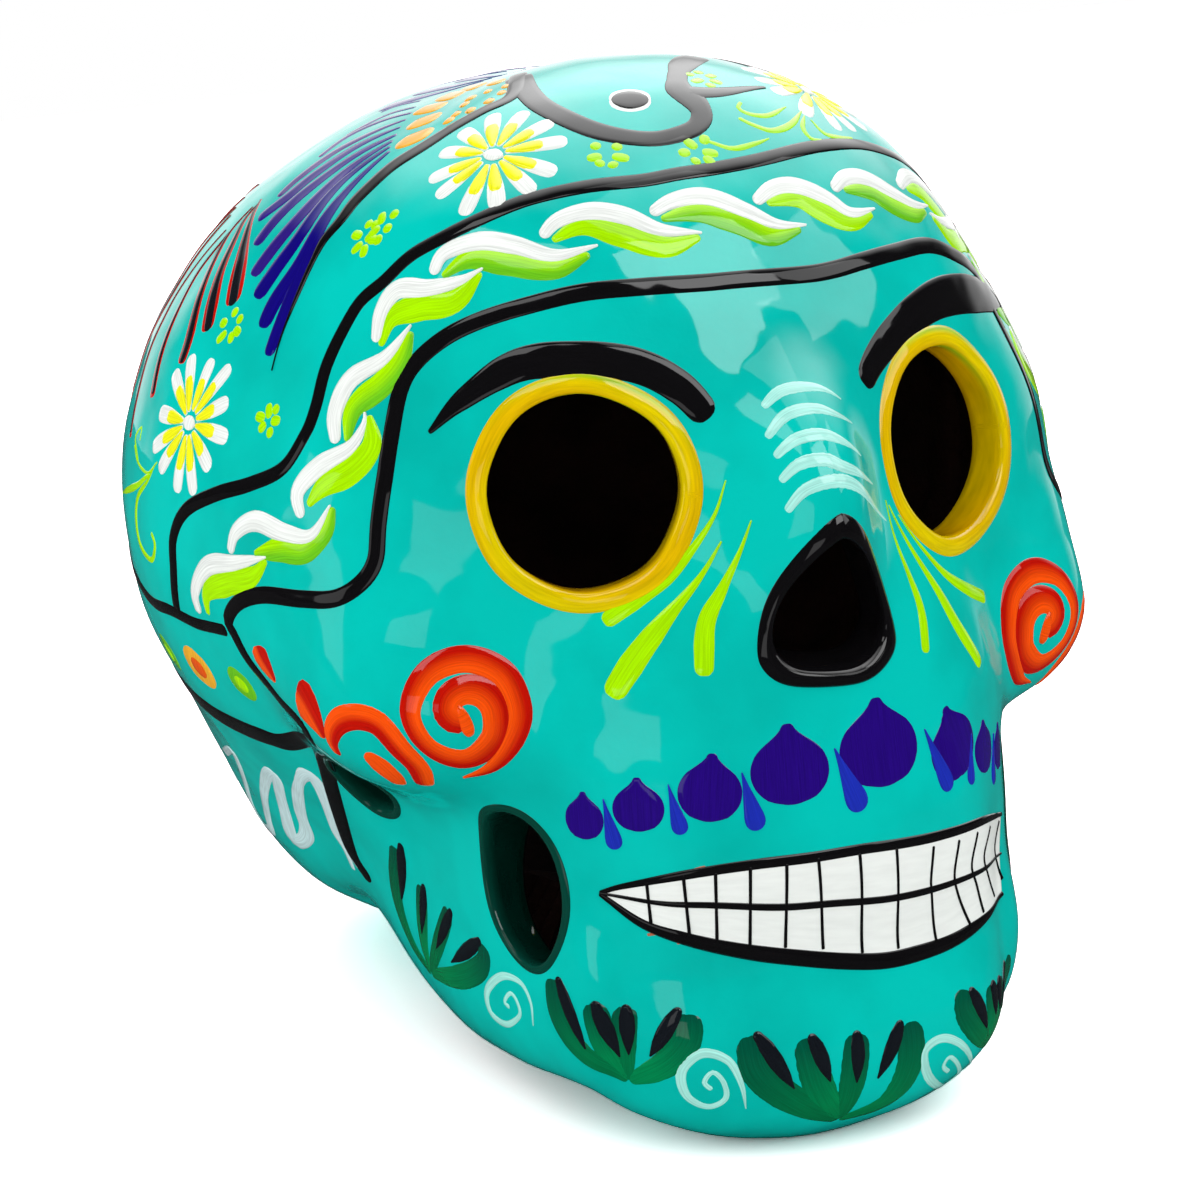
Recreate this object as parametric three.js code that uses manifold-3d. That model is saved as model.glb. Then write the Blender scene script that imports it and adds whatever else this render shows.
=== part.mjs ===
// Hollow painted earthenware skull, the kind set on a shelf or an altar table for the Day of the Dead.
// Two press-moulded halves meet at an upright seam behind the cheekbones, a strip of slip joins them
// from the inside, and each opening has its own rolled clay lip.
// Millimetres, +Z up. The face looks along -Y and +X is the skull's own left.

import * as THREE from 'three';
import { mergeVertices } from 'three/addons/utils/BufferGeometryUtils.js';
import Module from 'manifold-3d';

const wasm = await Module();
wasm.setup();

// Driving dimensions
const WALL = 6;
const GAP = 0.3;
const LOBE_BLEND = 7;
const MIDLINE_SOFTNESS = 2;
const SEAM_Y = 6;
const LUTE_WIDTH = 12;
const LUTE_THICKNESS = 2.5;
const RIM_PROUD = 0.8;
const INNER_POINT = new THREE.Vector3(0, -16, 78);
const OUTER_DETAIL = 12;
const INNER_DETAIL = 8;
const OVAL_SEGMENTS = 18;
const NOSE_SEGMENTS = 8;

// The clay is pressed over rounded masses that melt into each other. Each mass is an ellipsoid:
// centre and half axes. A mass off the middle plane has a twin on the other side.
const LOBES = [
  { name: 'cranium', centre: [0, 18.3, 95.1], radii: [80.3, 75, 71.3] },
  { name: 'forehead', centre: [0, -14, 128.5], radii: [57, 44, 46.1] },
  { name: 'face', centre: [0, -21, 106], radii: [69.7, 40.1, 35.5] },
  { name: 'nose_bridge', centre: [0, -56, 108], radii: [11.9, 27.8, 23] },
  { name: 'cheekbone', centre: [55.7, -34.9, 74.9], radii: [17, 19.5, 13.9] },
  { name: 'cheek_arch', centre: [59.7, -9.5, 87.3], radii: [10.6, 27.7, 8] },
  { name: 'upper_jaw', centre: [0, -55.7, 68.2], radii: [41.9, 27.2, 35.1] },
  { name: 'mouth', centre: [0, -49.7, 47.8], radii: [40.1, 37.5, 25.5] },
  { name: 'chin', centre: [0, -71.6, 17.3], radii: [35.3, 21.8, 18.9] },
  { name: 'jaw_corner', centre: [37.6, -31, 27.4], radii: [9.1, 39.9, 20.8] },
  { name: 'nape', centre: [0, 40.4, 54.8], radii: [54.7, 46.3, 58] },
  { name: 'throat', centre: [0, -8, 50], radii: [30, 34, 31] },
];

// Openings. The eyes and the nose sit where a line from the front meets the wall, the cheek and
// temple holes where a line from the side does. Each has a half width, a half height, a lean in
// degrees and the width of the lip round it.
const EYE = { x: 35.5, z: 113.9, halfWidth: 16.4, halfHeight: 16.4, lean: 0, lip: 3.6 };
const NOSE = { z: 96, halfWidth: 10.6, height: 23, lip: 2.8 };
const CHEEK_HOLE = { y: -57.9, z: 45.3, halfWidth: 10.5, halfHeight: 14.7, lean: -18.5, lip: 1.6 };
const TEMPLE_HOLE = { y: -18.2, z: 54, halfWidth: 7, halfHeight: 9, lean: 0, lip: 1.6 };
const BASE_HOLE = { y: 40, halfWidth: 11, halfLength: 8 };

// Distance estimate to one ellipsoid, negative inside.
function lobeDistance(x, y, z, lobe) {
  const [cx, cy, cz] = lobe.centre;
  const [rx, ry, rz] = lobe.radii;
  const qx = (x - cx) / rx;
  const qy = (y - cy) / ry;
  const qz = (z - cz) / rz;
  const scaled = Math.hypot(qx, qy, qz);
  const slope = Math.hypot(qx / rx, qy / ry, qz / rz);
  return scaled * (scaled - 1) / Math.max(slope, 1e-9);
}

// Height of a point above the clay's outer face. Exponentials let the masses flow together.
function aboveSkin(x, y, z) {
  const side = Math.hypot(x, MIDLINE_SOFTNESS);
  let sum = 0;
  for (const lobe of LOBES) {
    sum += Math.exp(-lobeDistance(side, y, z, lobe) / LOBE_BLEND);
  }
  return -LOBE_BLEND * Math.log(sum);
}

// Outermost crossing of one level along a ray.
function crossing(start, direction, level, far) {
  const step = 3;
  const at = (t) => aboveSkin(
    start.x + direction.x * t, start.y + direction.y * t, start.z + direction.z * t) - level;
  let outside = far;
  while (outside > step && at(outside - step) > 0) {
    outside -= step;
  }
  let inside = outside - step;
  for (let i = 0; i < 24; i += 1) {
    const middle = (inside + outside) / 2;
    if (at(middle) > 0) outside = middle;
    else inside = middle;
  }
  return (inside + outside) / 2;
}

// Closed skin at one level: 0 is the outer face, negative levels lie inside the wall.
function skin(level, detail) {
  const geometry = new THREE.IcosahedronGeometry(1, detail);
  const position = geometry.getAttribute('position');
  const direction = new THREE.Vector3();
  for (let i = 0; i < position.count; i += 1) {
    direction.fromBufferAttribute(position, i).normalize();
    const reach = crossing(INNER_POINT, direction, level, 150);
    direction.multiplyScalar(reach).add(INNER_POINT);
    position.setXYZ(i, direction.x, direction.y, direction.z);
  }
  return solid(geometry);
}

// A closed geometry as a solid for cutting and joining.
function solid(geometry) {
  geometry.deleteAttribute('normal');
  geometry.deleteAttribute('uv');
  const merged = mergeVertices(geometry, 1e-5);
  const mesh = new wasm.Mesh({
    numProp: 3,
    vertProperties: new Float32Array(merged.getAttribute('position').array),
    triVerts: new Uint32Array(merged.getIndex().array),
  });
  return new wasm.Manifold(mesh);
}

function block(width, depth, height, x, y, z) {
  const box = new THREE.BoxGeometry(width, depth, height);
  box.translate(x, y, z);
  return solid(box);
}

// Everything between two upright planes, or above the standing surface.
const slab = (fromY, toY) => block(400, toY - fromY, 400, 0, (fromY + toY) / 2, 100);
const aboveGround = block(400, 400, 300, 0, 0, 150);

// Outward direction of the wall at a point.
function wallNormal(point) {
  const h = 0.5;
  const slope = (dx, dy, dz) => aboveSkin(point.x + dx, point.y + dy, point.z + dz)
    - aboveSkin(point.x - dx, point.y - dy, point.z - dz);
  return new THREE.Vector3(slope(h, 0, 0), slope(0, h, 0), slope(0, 0, h)).normalize();
}

// Point of the outer face straight in front of (x, z).
function facePoint(x, z) {
  const start = new THREE.Vector3(x, 40, z);
  const reach = crossing(start, new THREE.Vector3(0, -1, 0), 0, 160);
  return new THREE.Vector3(x, 40 - reach, z);
}

// Point of the outer face straight beside (y, z), on the skull's left.
function sidePoint(y, z) {
  const start = new THREE.Vector3(0, y, z);
  const reach = crossing(start, new THREE.Vector3(1, 0, 0), 0, 120);
  return new THREE.Vector3(reach, y, z);
}

// A plug through the wall: an outline drawn square to the axis, pushed both ways along it.
function plug(outline, centre, axis, out, inward) {
  const shape = new THREE.ExtrudeGeometry(outline, {
    depth: out + inward, bevelEnabled: false, curveSegments: outline.segments,
  });
  shape.translate(0, 0, -inward);
  const right = new THREE.Vector3(0, 0, 1).cross(axis).normalize();
  const up = axis.clone().cross(right);
  const frame = new THREE.Matrix4().makeBasis(right, up, axis).setPosition(centre);
  shape.applyMatrix4(frame);
  return solid(shape);
}

function oval(halfWidth, halfHeight, lean, grow) {
  const outline = new THREE.Shape();
  outline.absellipse(0, 0, halfWidth + grow, halfHeight + grow, 0, Math.PI * 2, false,
    THREE.MathUtils.degToRad(lean));
  outline.segments = OVAL_SEGMENTS;
  return outline;
}

// The nose opening: a triangle with a pointed top and round lower corners.
function noseOutline(grow) {
  const half = NOSE.halfWidth + grow;
  const top = NOSE.height / 2 + grow * 1.5;
  const low = -NOSE.height / 2 - grow;
  const outline = new THREE.Shape();
  outline.moveTo(0, top);
  outline.bezierCurveTo(half * 0.45, top - 1, half * 1.05, low + 10, half, low + 5);
  outline.bezierCurveTo(half * 0.95, low + 1, half * 0.5, low, 0, low);
  outline.bezierCurveTo(-half * 0.5, low, -half * 0.95, low + 1, -half, low + 5);
  outline.bezierCurveTo(-half * 1.05, low + 10, -half * 0.45, top - 1, 0, top);
  outline.segments = NOSE_SEGMENTS;
  return outline;
}

// One opening on the skull's left (side +1) or right (side -1).
function pairedOpening(name, hole, point, side, colour) {
  const mirror = (vector) => new THREE.Vector3(vector.x * side, vector.y, vector.z);
  return {
    name: `${side > 0 ? 'left' : 'right'}_${name}_rim`,
    centre: mirror(point),
    axis: mirror(wallNormal(point)),
    outline: (grow) => oval(hole.halfWidth, hole.halfHeight, hole.lean * side, grow),
    lip: hole.lip,
    colour,
  };
}

function openings() {
  const nose = facePoint(0, NOSE.z);
  const list = [{
    name: 'nose_rim',
    centre: nose,
    axis: wallNormal(nose),
    outline: noseOutline,
    lip: NOSE.lip,
    colour: '#101010',
  }];
  const eye = facePoint(EYE.x, EYE.z);
  const cheek = sidePoint(CHEEK_HOLE.y, CHEEK_HOLE.z);
  const temple = sidePoint(TEMPLE_HOLE.y, TEMPLE_HOLE.z);
  for (const side of [1, -1]) {
    list.push(pairedOpening('eye', EYE, eye, side, '#e1cd00'));
    list.push(pairedOpening('cheek', CHEEK_HOLE, cheek, side, '#12332c'));
    list.push(pairedOpening('temple', TEMPLE_HOLE, temple, side, '#12332c'));
  }
  return list;
}

const outerSkin = skin(0, OUTER_DETAIL);
const proudSkin = skin(RIM_PROUD, OUTER_DETAIL);
const innerSkin = skin(-WALL, INNER_DETAIL);
const luteOutside = skin(-WALL - GAP, INNER_DETAIL);
const luteInside = skin(-WALL - GAP - LUTE_THICKNESS, INNER_DETAIL);

// The whole wall, flat underneath and with all its openings cut.
function skullWall(cuts) {
  let wall = outerSkin.intersect(aboveGround).subtract(innerSkin);
  for (const cut of cuts) {
    const deep = plug(cut.outline(cut.lip), cut.centre, cut.axis, 12, 22);
    wall = wall.subtract(deep);
  }
  const baseCentre = new THREE.Vector3(0, BASE_HOLE.y, 0);
  const down = oval(BASE_HOLE.halfWidth, BASE_HOLE.halfLength, 0, 0);
  const shaft = new THREE.ExtrudeGeometry(down, { depth: 40, bevelEnabled: false, curveSegments: 18 });
  shaft.translate(baseCentre.x, baseCentre.y, -20);
  return wall.subtract(solid(shaft));
}

// A lip fills the cut between its own outline and the free opening, a hair proud of the wall.
function lipRing(cut) {
  const body = plug(cut.outline(cut.lip - GAP), cut.centre, cut.axis, 11, 18);
  const free = plug(cut.outline(0), cut.centre, cut.axis, 13, 24);
  return proudSkin.subtract(innerSkin).intersect(body).subtract(free);
}

function meshOf(name, body, colour, roughness) {
  const result = body.getMesh();
  const geometry = new THREE.BufferGeometry();
  const corners = new Float32Array(result.vertProperties);
  geometry.setAttribute('position', new THREE.BufferAttribute(corners, 3));
  geometry.setIndex(new THREE.BufferAttribute(new Uint32Array(result.triVerts), 1));
  geometry.computeVertexNormals();
  const material = new THREE.MeshStandardMaterial({ color: colour, roughness, metalness: 0 });
  const mesh = new THREE.Mesh(geometry, material);
  mesh.name = name;
  return mesh;
}

const skull = new THREE.Group();
const cuts = openings();
const wall = skullWall(cuts);
skull.add(meshOf('face_half', wall.intersect(slab(-200, SEAM_Y - GAP / 2)), '#00c8bc', 0.25));
skull.add(meshOf('back_half', wall.intersect(slab(SEAM_Y + GAP / 2, 200)), '#00bcb0', 0.25));

const luteBand = slab(SEAM_Y - LUTE_WIDTH / 2, SEAM_Y + LUTE_WIDTH / 2);
const lute = luteOutside.subtract(luteInside).intersect(luteBand);
skull.add(meshOf('seam_lute', lute, '#8a4a32', 0.8));

for (const cut of cuts) {
  skull.add(meshOf(cut.name, lipRing(cut), cut.colour, 0.3));
}

export default skull;
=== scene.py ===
# %% [markdown]
# A painted clay skull
# The real object is a hollow skull of red earthenware. Two halves are pressed in moulds and joined,
# the openings are cut, and the fired clay gets a teal ground, brush ornament and a gloss varnish.
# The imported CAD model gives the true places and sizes. Here we build the fine surface on the same
# rule of rounded masses that the CAD part uses, so that paint can be laid on it stroke by stroke.

# %% Load the frame
import math

import bmesh
import bpy
import numpy as np
from mathutils import Matrix, Vector


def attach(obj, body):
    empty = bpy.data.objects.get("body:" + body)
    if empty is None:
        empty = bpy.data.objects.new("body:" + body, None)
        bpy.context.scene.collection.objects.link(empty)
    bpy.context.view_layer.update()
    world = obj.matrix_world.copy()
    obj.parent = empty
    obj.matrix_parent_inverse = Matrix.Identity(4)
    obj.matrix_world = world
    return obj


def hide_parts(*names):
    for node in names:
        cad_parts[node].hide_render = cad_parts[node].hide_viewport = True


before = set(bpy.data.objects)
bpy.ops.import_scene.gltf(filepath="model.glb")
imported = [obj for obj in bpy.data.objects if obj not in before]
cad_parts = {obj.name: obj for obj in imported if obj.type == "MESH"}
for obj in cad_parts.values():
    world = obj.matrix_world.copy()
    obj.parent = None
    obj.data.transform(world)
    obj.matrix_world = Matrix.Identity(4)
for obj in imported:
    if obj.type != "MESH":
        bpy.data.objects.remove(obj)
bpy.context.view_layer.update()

MM = 0.001

# %% [markdown]
# The camera
# A long lens from a metre away looks slightly down on the skull from its right. We keep the lens as
# a focal length in photo pixels, because the same numbers later send a line from a point of the
# picture to the clay, which is how the brush strokes find their places.

# %% Camera
PHOTO_SIZE = 1200
PHOTO_CENTRE = (628.32, 591.58)
FOCAL_PIXELS = 6000.4
CAMERA_TARGET = np.array([0.0, -7.7, 78.0])
CAMERA_AZIMUTH = math.radians(-27.71)
CAMERA_ELEVATION = math.radians(16.71)
CAMERA_DISTANCE = 1075.3
SENSOR_WIDTH = 36.0

look_back = np.array([
    math.sin(CAMERA_AZIMUTH) * math.cos(CAMERA_ELEVATION),
    -math.cos(CAMERA_AZIMUTH) * math.cos(CAMERA_ELEVATION),
    math.sin(CAMERA_ELEVATION),
])
view_right = np.array([math.cos(CAMERA_AZIMUTH), math.sin(CAMERA_AZIMUTH), 0.0])
view_up = np.cross(look_back, view_right)
camera_place = CAMERA_TARGET + look_back * CAMERA_DISTANCE


def put_in_scene(name, data):
    """A new object that shows a mesh, a lamp or a camera."""
    thing = bpy.data.objects.new(name, data)
    bpy.context.scene.collection.objects.link(thing)
    return thing


def make_camera():
    data = bpy.data.cameras.new("photo_camera")
    data.sensor_width = SENSOR_WIDTH
    data.lens = FOCAL_PIXELS * SENSOR_WIDTH / PHOTO_SIZE
    data.shift_x = -(PHOTO_CENTRE[0] - PHOTO_SIZE / 2) / PHOTO_SIZE
    data.shift_y = (PHOTO_CENTRE[1] - PHOTO_SIZE / 2) / PHOTO_SIZE
    camera = put_in_scene("photo_camera", data)
    turn = Matrix((view_right, view_up, look_back)).transposed().to_4x4()
    camera.matrix_world = Matrix.Translation(Vector(camera_place * MM)) @ turn
    bpy.context.scene.camera = camera
    return camera


camera = make_camera()
print("lens", round(camera.data.lens, 1), "mm, from", (camera_place * MM).round(3), "m")

# %% [markdown]
# The clay as a sum of rounded masses
# A potter thinks of a skull as an egg for the brain case with smaller lumps pressed on: forehead,
# cheekbones, jaws and chin. We could sculpt a mesh, but a formula is exact at any fineness. Each
# mass is an ellipsoid, and adding exponentials of their distances lets them flow together like wet
# clay. The result is a height above the skin for any point, zero on the surface, in millimetres.

# %% Masses
LOBES = {
    "cranium": ((0, 18.3, 95.1), (80.3, 75, 71.3)),
    "forehead": ((0, -14, 128.5), (57, 44, 46.1)),
    "face": ((0, -21, 106), (69.7, 40.1, 35.5)),
    "nose_bridge": ((0, -56, 108), (11.9, 27.8, 23)),
    "cheekbone": ((55.7, -34.9, 74.9), (17, 19.5, 13.9)),
    "cheek_arch": ((59.7, -9.5, 87.3), (10.6, 27.7, 8)),
    "upper_jaw": ((0, -55.7, 68.2), (41.9, 27.2, 35.1)),
    "mouth": ((0, -49.7, 47.8), (40.1, 37.5, 25.5)),
    "chin": ((0, -71.6, 17.3), (35.3, 21.8, 18.9)),
    "jaw_corner": ((37.6, -31, 27.4), (9.1, 39.9, 20.8)),
    "nape": ((0, 40.4, 54.8), (54.7, 46.3, 58)),
    "throat": ((0, -8, 50), (30, 34, 31)),
}
LOBE_BLEND = 7.0
MIDLINE_SOFTNESS = 2.0
WALL = 6.0
NOT_ZERO = 1e-9
SMALLEST_SUM = 1e-200


def lobe_height(points, lobe):
    """Distance estimate to one ellipsoid and its outward direction."""
    centre, radii = np.array(lobe[0], float), np.array(lobe[1], float)
    offset = (points - centre) / radii
    scaled = np.sqrt((offset**2).sum(-1))
    steep = offset / radii
    slope = np.maximum(np.sqrt((steep**2).sum(-1)), NOT_ZERO)
    return scaled * (scaled - 1) / slope, steep / slope[..., None]


print(len(LOBES), "masses:", ", ".join(LOBES))

# %% [markdown]
# Uneven by hand
# Hands leave the clay slightly uneven, which is what makes a gloss look like glazed pottery and not
# like plastic. We could displace a mesh afterwards. Here a few long waves in random directions,
# about a tenth of a millimetre high, are added to the height itself, so paint laid later follows
# them. Above the flat on which the back of the head stands, the sides draw in as over a foot.

# %% Hand-pressed waves
WAVE_HEIGHT = 0.055
WAVE_COUNT = 9
SHORTEST_WAVE, LONGEST_WAVE = 11.0, 34.0
wave_dice = np.random.default_rng(4)
wave_ways = wave_dice.normal(size=(WAVE_COUNT, 3))
wave_ways /= np.linalg.norm(wave_ways, axis=1, keepdims=True)
wave_lengths = wave_dice.uniform(SHORTEST_WAVE, LONGEST_WAVE, WAVE_COUNT)
wave_starts = wave_dice.uniform(0, 2 * math.pi, WAVE_COUNT)


def hand_waves(points):
    """How far the skin stands out where the hand pressed less."""
    phase = points @ (wave_ways / wave_lengths[:, None]).T * 2 * math.pi + wave_starts
    return WAVE_HEIGHT * np.sin(phase).sum(-1)


FOOT_MIDDLE, FOOT_SQUASH = 40.4, 1.18
FOOT_RING, FOOT_UP = 27.0, 11.0
FOOT_REACH, FOOT_TALL, FOOT_DEPTH = 9.0, 7.0, 4.7
OFF_AXIS = 1e-6
DEEPEST, HIGHEST = -300, 600


def foot_waist(points):
    """How far the sides of the head draw in above the flat on which its back stands."""
    ring = np.hypot(points[..., 0], (points[..., 1] - FOOT_MIDDLE) * FOOT_SQUASH) + OFF_AXIS
    beside, above = (ring - FOOT_RING) / FOOT_REACH, (points[..., 2] - FOOT_UP) / FOOT_TALL
    return FOOT_DEPTH * (points[..., 0] / ring) ** 2 * np.exp(-beside**2 - above**2)


def skin_height(points, waves=True):
    """Height above the painted skin and the outward direction there. The masses are given for the
    left side, and a point on the right is folded over to it, softly at the middle."""
    points = np.asarray(points, float)
    folded = points.copy()
    folded[..., 0] = np.sqrt(points[..., 0] ** 2 + MIDLINE_SOFTNESS**2)
    total, pull = 0.0, 0.0
    for lobe in LOBES.values():
        height, outward = lobe_height(folded, lobe)
        weight = np.exp(-np.clip(height, DEEPEST, HIGHEST) / LOBE_BLEND)
        total = total + weight
        pull = pull + outward * weight[..., None]
    pull[..., 0] *= points[..., 0] / folded[..., 0]
    pull /= np.maximum(np.linalg.norm(pull, axis=-1, keepdims=True), NOT_ZERO)
    height = foot_waist(points) - LOBE_BLEND * np.log(np.maximum(total, SMALLEST_SUM))
    if waves:
        height = height - hand_waves(points)
    return height, pull


def settle(points, level=0.0, rounds=4):
    """Moves points along the outward direction until they lie at one height above the skin."""
    points = np.array(points, float)
    for _ in range(rounds):
        height, outward = skin_height(points)
        points -= outward * (height - level)[..., None]
    return points


print("skin at the top:", settle(np.array([[0.0, 10.0, 175.0]])).round(2))

# %% [markdown]
# Points on the skin
# Two ways to name a place are handy. A line of sight through a point of the photograph finds what
# the picture shows, and a direction from a point inside the skull, as degrees round and degrees up,
# finds the sides that it doesn't. Both walk along a line until it meets the skin.

# %% Finding the skin along a line
INSIDE_POINT = np.array([0.0, -16.0, 78.0])
FAR_OUT = 150.0
STRIDE = 3.0
HALVINGS = 14


def crossing(starts, ways, near, far, level, halvings=HALVINGS):
    """How far along lines a level is crossed, between a distance below it and one above."""
    for _ in range(halvings):
        middle = (near + far) / 2
        height, _ = skin_height(starts + ways * middle[:, None])
        above = height > level
        near, far = np.where(above, near, middle), np.where(above, middle, far)
    return (near + far) / 2


def outermost(starts, ways, level=0.0, far=FAR_OUT):
    """Where lines from inside cross a level for the last time on their way out."""
    count = len(ways)
    outside = np.full(count, far)
    walking = np.ones(count, bool)
    while walking.any():
        index = np.flatnonzero(walking)
        nearer = outside[index] - STRIDE
        height, _ = skin_height(starts[index] + ways[index] * nearer[:, None])
        still = (height > level) & (nearer > STRIDE)
        outside[index[still]] = nearer[still]
        walking[index[~still]] = False
    return starts + ways * crossing(starts, ways, outside - STRIDE, outside, level)[:, None]


def globe(around, up):
    """Place on the skin, by degrees round from the face to the skull's left and degrees up."""
    a, e = math.radians(around), math.radians(up)
    way = np.array([[math.sin(a) * math.cos(e), -math.cos(a) * math.cos(e), math.sin(e)]])
    return outermost(INSIDE_POINT[None], way)[0]


print("the back of the head is at", globe(180, 0).round(1),
      "and the crown at", globe(180, 80).round(1))

# %% Finding the skin through the photograph
SIGHT_NEAR, SIGHT_FAR, SIGHT_STEP = 940.0, 1220.0, 1.0
sight_steps = np.arange(SIGHT_NEAR, SIGHT_FAR, SIGHT_STEP)


def seen(x, y):
    """Place on the skin behind one pixel of the photograph; past the edge, the nearest place."""
    sideways = view_right * (x - PHOTO_CENTRE[0]) - view_up * (y - PHOTO_CENTRE[1])
    way = sideways / FOCAL_PIXELS - look_back
    way /= np.linalg.norm(way)
    line = camera_place + sight_steps[:, None] * way
    height, _ = skin_height(line)
    first = int((height < 0).argmax()) if (height < 0).any() else int(height.argmin())
    return settle(line[first][None])[0]


def traced(pixels):
    return np.array([seen(x, y) for x, y in pixels])


def mirrored(points):
    return np.asarray(points) * np.array([-1.0, 1.0, 1.0])


print("the middle of the picture shows", seen(PHOTO_SIZE / 2, PHOTO_SIZE / 2).round(1))

# %% [markdown]
# Colours
# Paint is named here once, as it looks on the object, and turned into the linear values
# that a shader needs. A list of such values is easier to correct than numbers inside the materials.

# %% Paint box
def paint_value(red, green, blue):
    """Linear values of a colour that is given as on a screen, by the sRGB rule."""
    def linear(value):
        value /= 255
        return value / 12.92 if value <= 0.04045 else ((value + 0.055) / 1.055) ** 2.4
    return np.array([linear(red), linear(green), linear(blue)])


TEAL = paint_value(0, 196, 184)
DEEP_TEAL = paint_value(0, 176, 165)
BLACK = paint_value(14, 13, 15)
WHITE = paint_value(240, 244, 240)
YELLOW = paint_value(228, 205, 0)
EGG_YELLOW = paint_value(226, 172, 0)
PETAL_YELLOW = paint_value(246, 246, 30)
LIME = paint_value(172, 240, 0)
GRASS = paint_value(110, 200, 30)
RED = paint_value(196, 18, 4)
ORANGE = paint_value(255, 84, 10)
HOT_ORANGE = paint_value(240, 90, 20)
AMBER = paint_value(248, 180, 50)
VIOLET = paint_value(38, 8, 124)
BLUE = paint_value(30, 48, 180)
FEATHER_BLUE = paint_value(18, 6, 122)
PURPLE_BLUE = paint_value(48, 26, 128)
PLUM = paint_value(76, 48, 128)
LEAF = paint_value(0, 134, 78)
DEEP_LEAF = paint_value(0, 118, 70)
DARK_LEAF = paint_value(0, 84, 62)
DARK_GREEN = paint_value(6, 66, 54)
INK = paint_value(20, 24, 30)
MINT = paint_value(172, 240, 228)
PALE = paint_value(216, 240, 242)
# The two clay colours below are the bare clay darkened as painted shade of the hollow inside; the
# second is also a darker patch of the clay's own.
CLAY_IN_PAINTED_SHADE = paint_value(62, 30, 22)
DARKER_CLAY_IN_PAINTED_SHADE = paint_value(36, 16, 12)
BARE_CLAY = paint_value(190, 110, 80)
print("teal, as the shader gets it:", TEAL.round(3))

# %% [markdown]
# The varnish
# Every coat of paint lies under one gloss varnish. A glossy paint would tint its own highlights, so
# we use the coat layer of the Principled shader: the paint below is dull, the coat above is sharp.
# The varnish is thick and not quite level. A slow ripple in the coat's own normal gives reflections
# the wavy edges that brushed varnish has.

# %% Varnish
VARNISH_GLOSS = 0.06
VARNISH_IOR = 1.42
PAINT_ROUGHNESS = 0.45
RIPPLE_SCALE, RIPPLE_DEPTH = 90.0, 0.00045


def add_node(tree, kind, output, inputs=None, **settings):
    """A node with its settings. Its inputs are set to values or linked to other nodes' outputs."""
    node = tree.nodes.new("ShaderNode" + kind)
    for name, value in settings.items():
        setattr(node, name, value)
    for name, value in (inputs or {}).items():
        if isinstance(value, bpy.types.NodeSocket):
            tree.links.new(value, node.inputs[name])
        else:
            node.inputs[name].default_value = value
    return node.outputs[output]


def empty_tree(owner):
    owner.use_nodes = True
    owner.node_tree.nodes.clear()
    return owner.node_tree


def new_finish(name):
    finish = bpy.data.materials.new(name)
    return finish, empty_tree(finish)


def show(tree, kind, shader):
    """Ends the tree of a material or a world in its output."""
    output = tree.nodes.new(f"ShaderNodeOutput{kind}")
    tree.links.new(shader, output.inputs["Surface"])


def noise(tree, place, scale, detail):
    return add_node(tree, "TexNoise", "Fac", {"Vector": place, "Scale": scale, "Detail": detail})


def bump(tree, height, distance):
    inputs = {"Height": height, "Distance": distance, "Strength": 1.0}
    return add_node(tree, "Bump", "Normal", inputs)


def varnish_over(tree, colour, normal):
    """Dull paint under the clear coat, and the coat's own ripple."""
    place = add_node(tree, "TexCoord", "Object")
    ripple = bump(tree, noise(tree, place, RIPPLE_SCALE, detail=1.0), RIPPLE_DEPTH)
    show(tree, "Material", add_node(tree, "BsdfPrincipled", "BSDF", {
        "Base Color": colour, "Normal": normal, "Roughness": PAINT_ROUGHNESS,
        "Specular IOR Level": 0.0, "Coat Weight": 1.0, "Coat Roughness": VARNISH_GLOSS,
        "Coat IOR": VARNISH_IOR, "Coat Normal": ripple,
    }))


print("varnish ripple:", round(1 / RIPPLE_SCALE / MM, 1), "mm wide,", RIPPLE_DEPTH / MM, "mm deep")

# %% [markdown]
# The teal ground
# The ground is brushed on before anything else, and a second look shows patches where the coat is
# thicker and deeper in colour. One flat colour would look like plastic. Noise between two teals
# gives the patches, and a much finer noise as bump gives the tooth of the paint.

# %% Teal ground coat
GROUND_MOTTLE = 38.0
GROUND_GRAIN = 620.0
GRAIN_DEPTH = 0.00006
PATCHES_FROM, PATCHES_TO = 0.35, 0.65
MOTTLE_FROM, MOTTLE_TO = 0.3, 0.6


def blend_colours(tree, factor, first, second, low=PATCHES_FROM, high=PATCHES_TO):
    ramp = tree.nodes.new("ShaderNodeValToRGB")
    for stop, position, colour in zip(ramp.color_ramp.elements, (low, high), (first, second)):
        stop.position = position
        stop.color = (*colour, 1)
    tree.links.new(factor, ramp.inputs["Fac"])
    return ramp.outputs["Color"]


def teal_finish():
    finish, tree = new_finish("teal_under_varnish")
    place = add_node(tree, "TexCoord", "Object")
    mottle = noise(tree, place, GROUND_MOTTLE, detail=4.0)
    grain = noise(tree, place, GROUND_GRAIN, detail=2.0)
    colour = blend_colours(tree, mottle, DEEP_TEAL, TEAL, MOTTLE_FROM, MOTTLE_TO)
    varnish_over(tree, colour, bump(tree, grain, GRAIN_DEPTH))
    return finish


teal_paint = teal_finish()
print(teal_paint.name, "has", len(teal_paint.node_tree.nodes), "nodes")

# %% [markdown]
# Brush paint
# The ornament is painted with soft brushes, and hairs leave fine streaks along each stroke. The
# colour of a stroke is stored on its mesh, so one material serves all colours. The mesh also stores
# how far each point lies along and across its stroke. Noise over those two numbers, stretched along
# the stroke, gives the streaks wherever the stroke turns.

# %% Brush paint
STREAK_ALONG, STREAK_ACROSS = 0.12, 2.2
STREAK_DEPTH, SMOOTH_STREAK_DEPTH = 0.22, 0.05
STREAK_LIGHTENS = 0.4
STREAK_BUMP = 0.00005
NOISE_LOW, NOISE_HIGH = 0.3, 0.7


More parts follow.
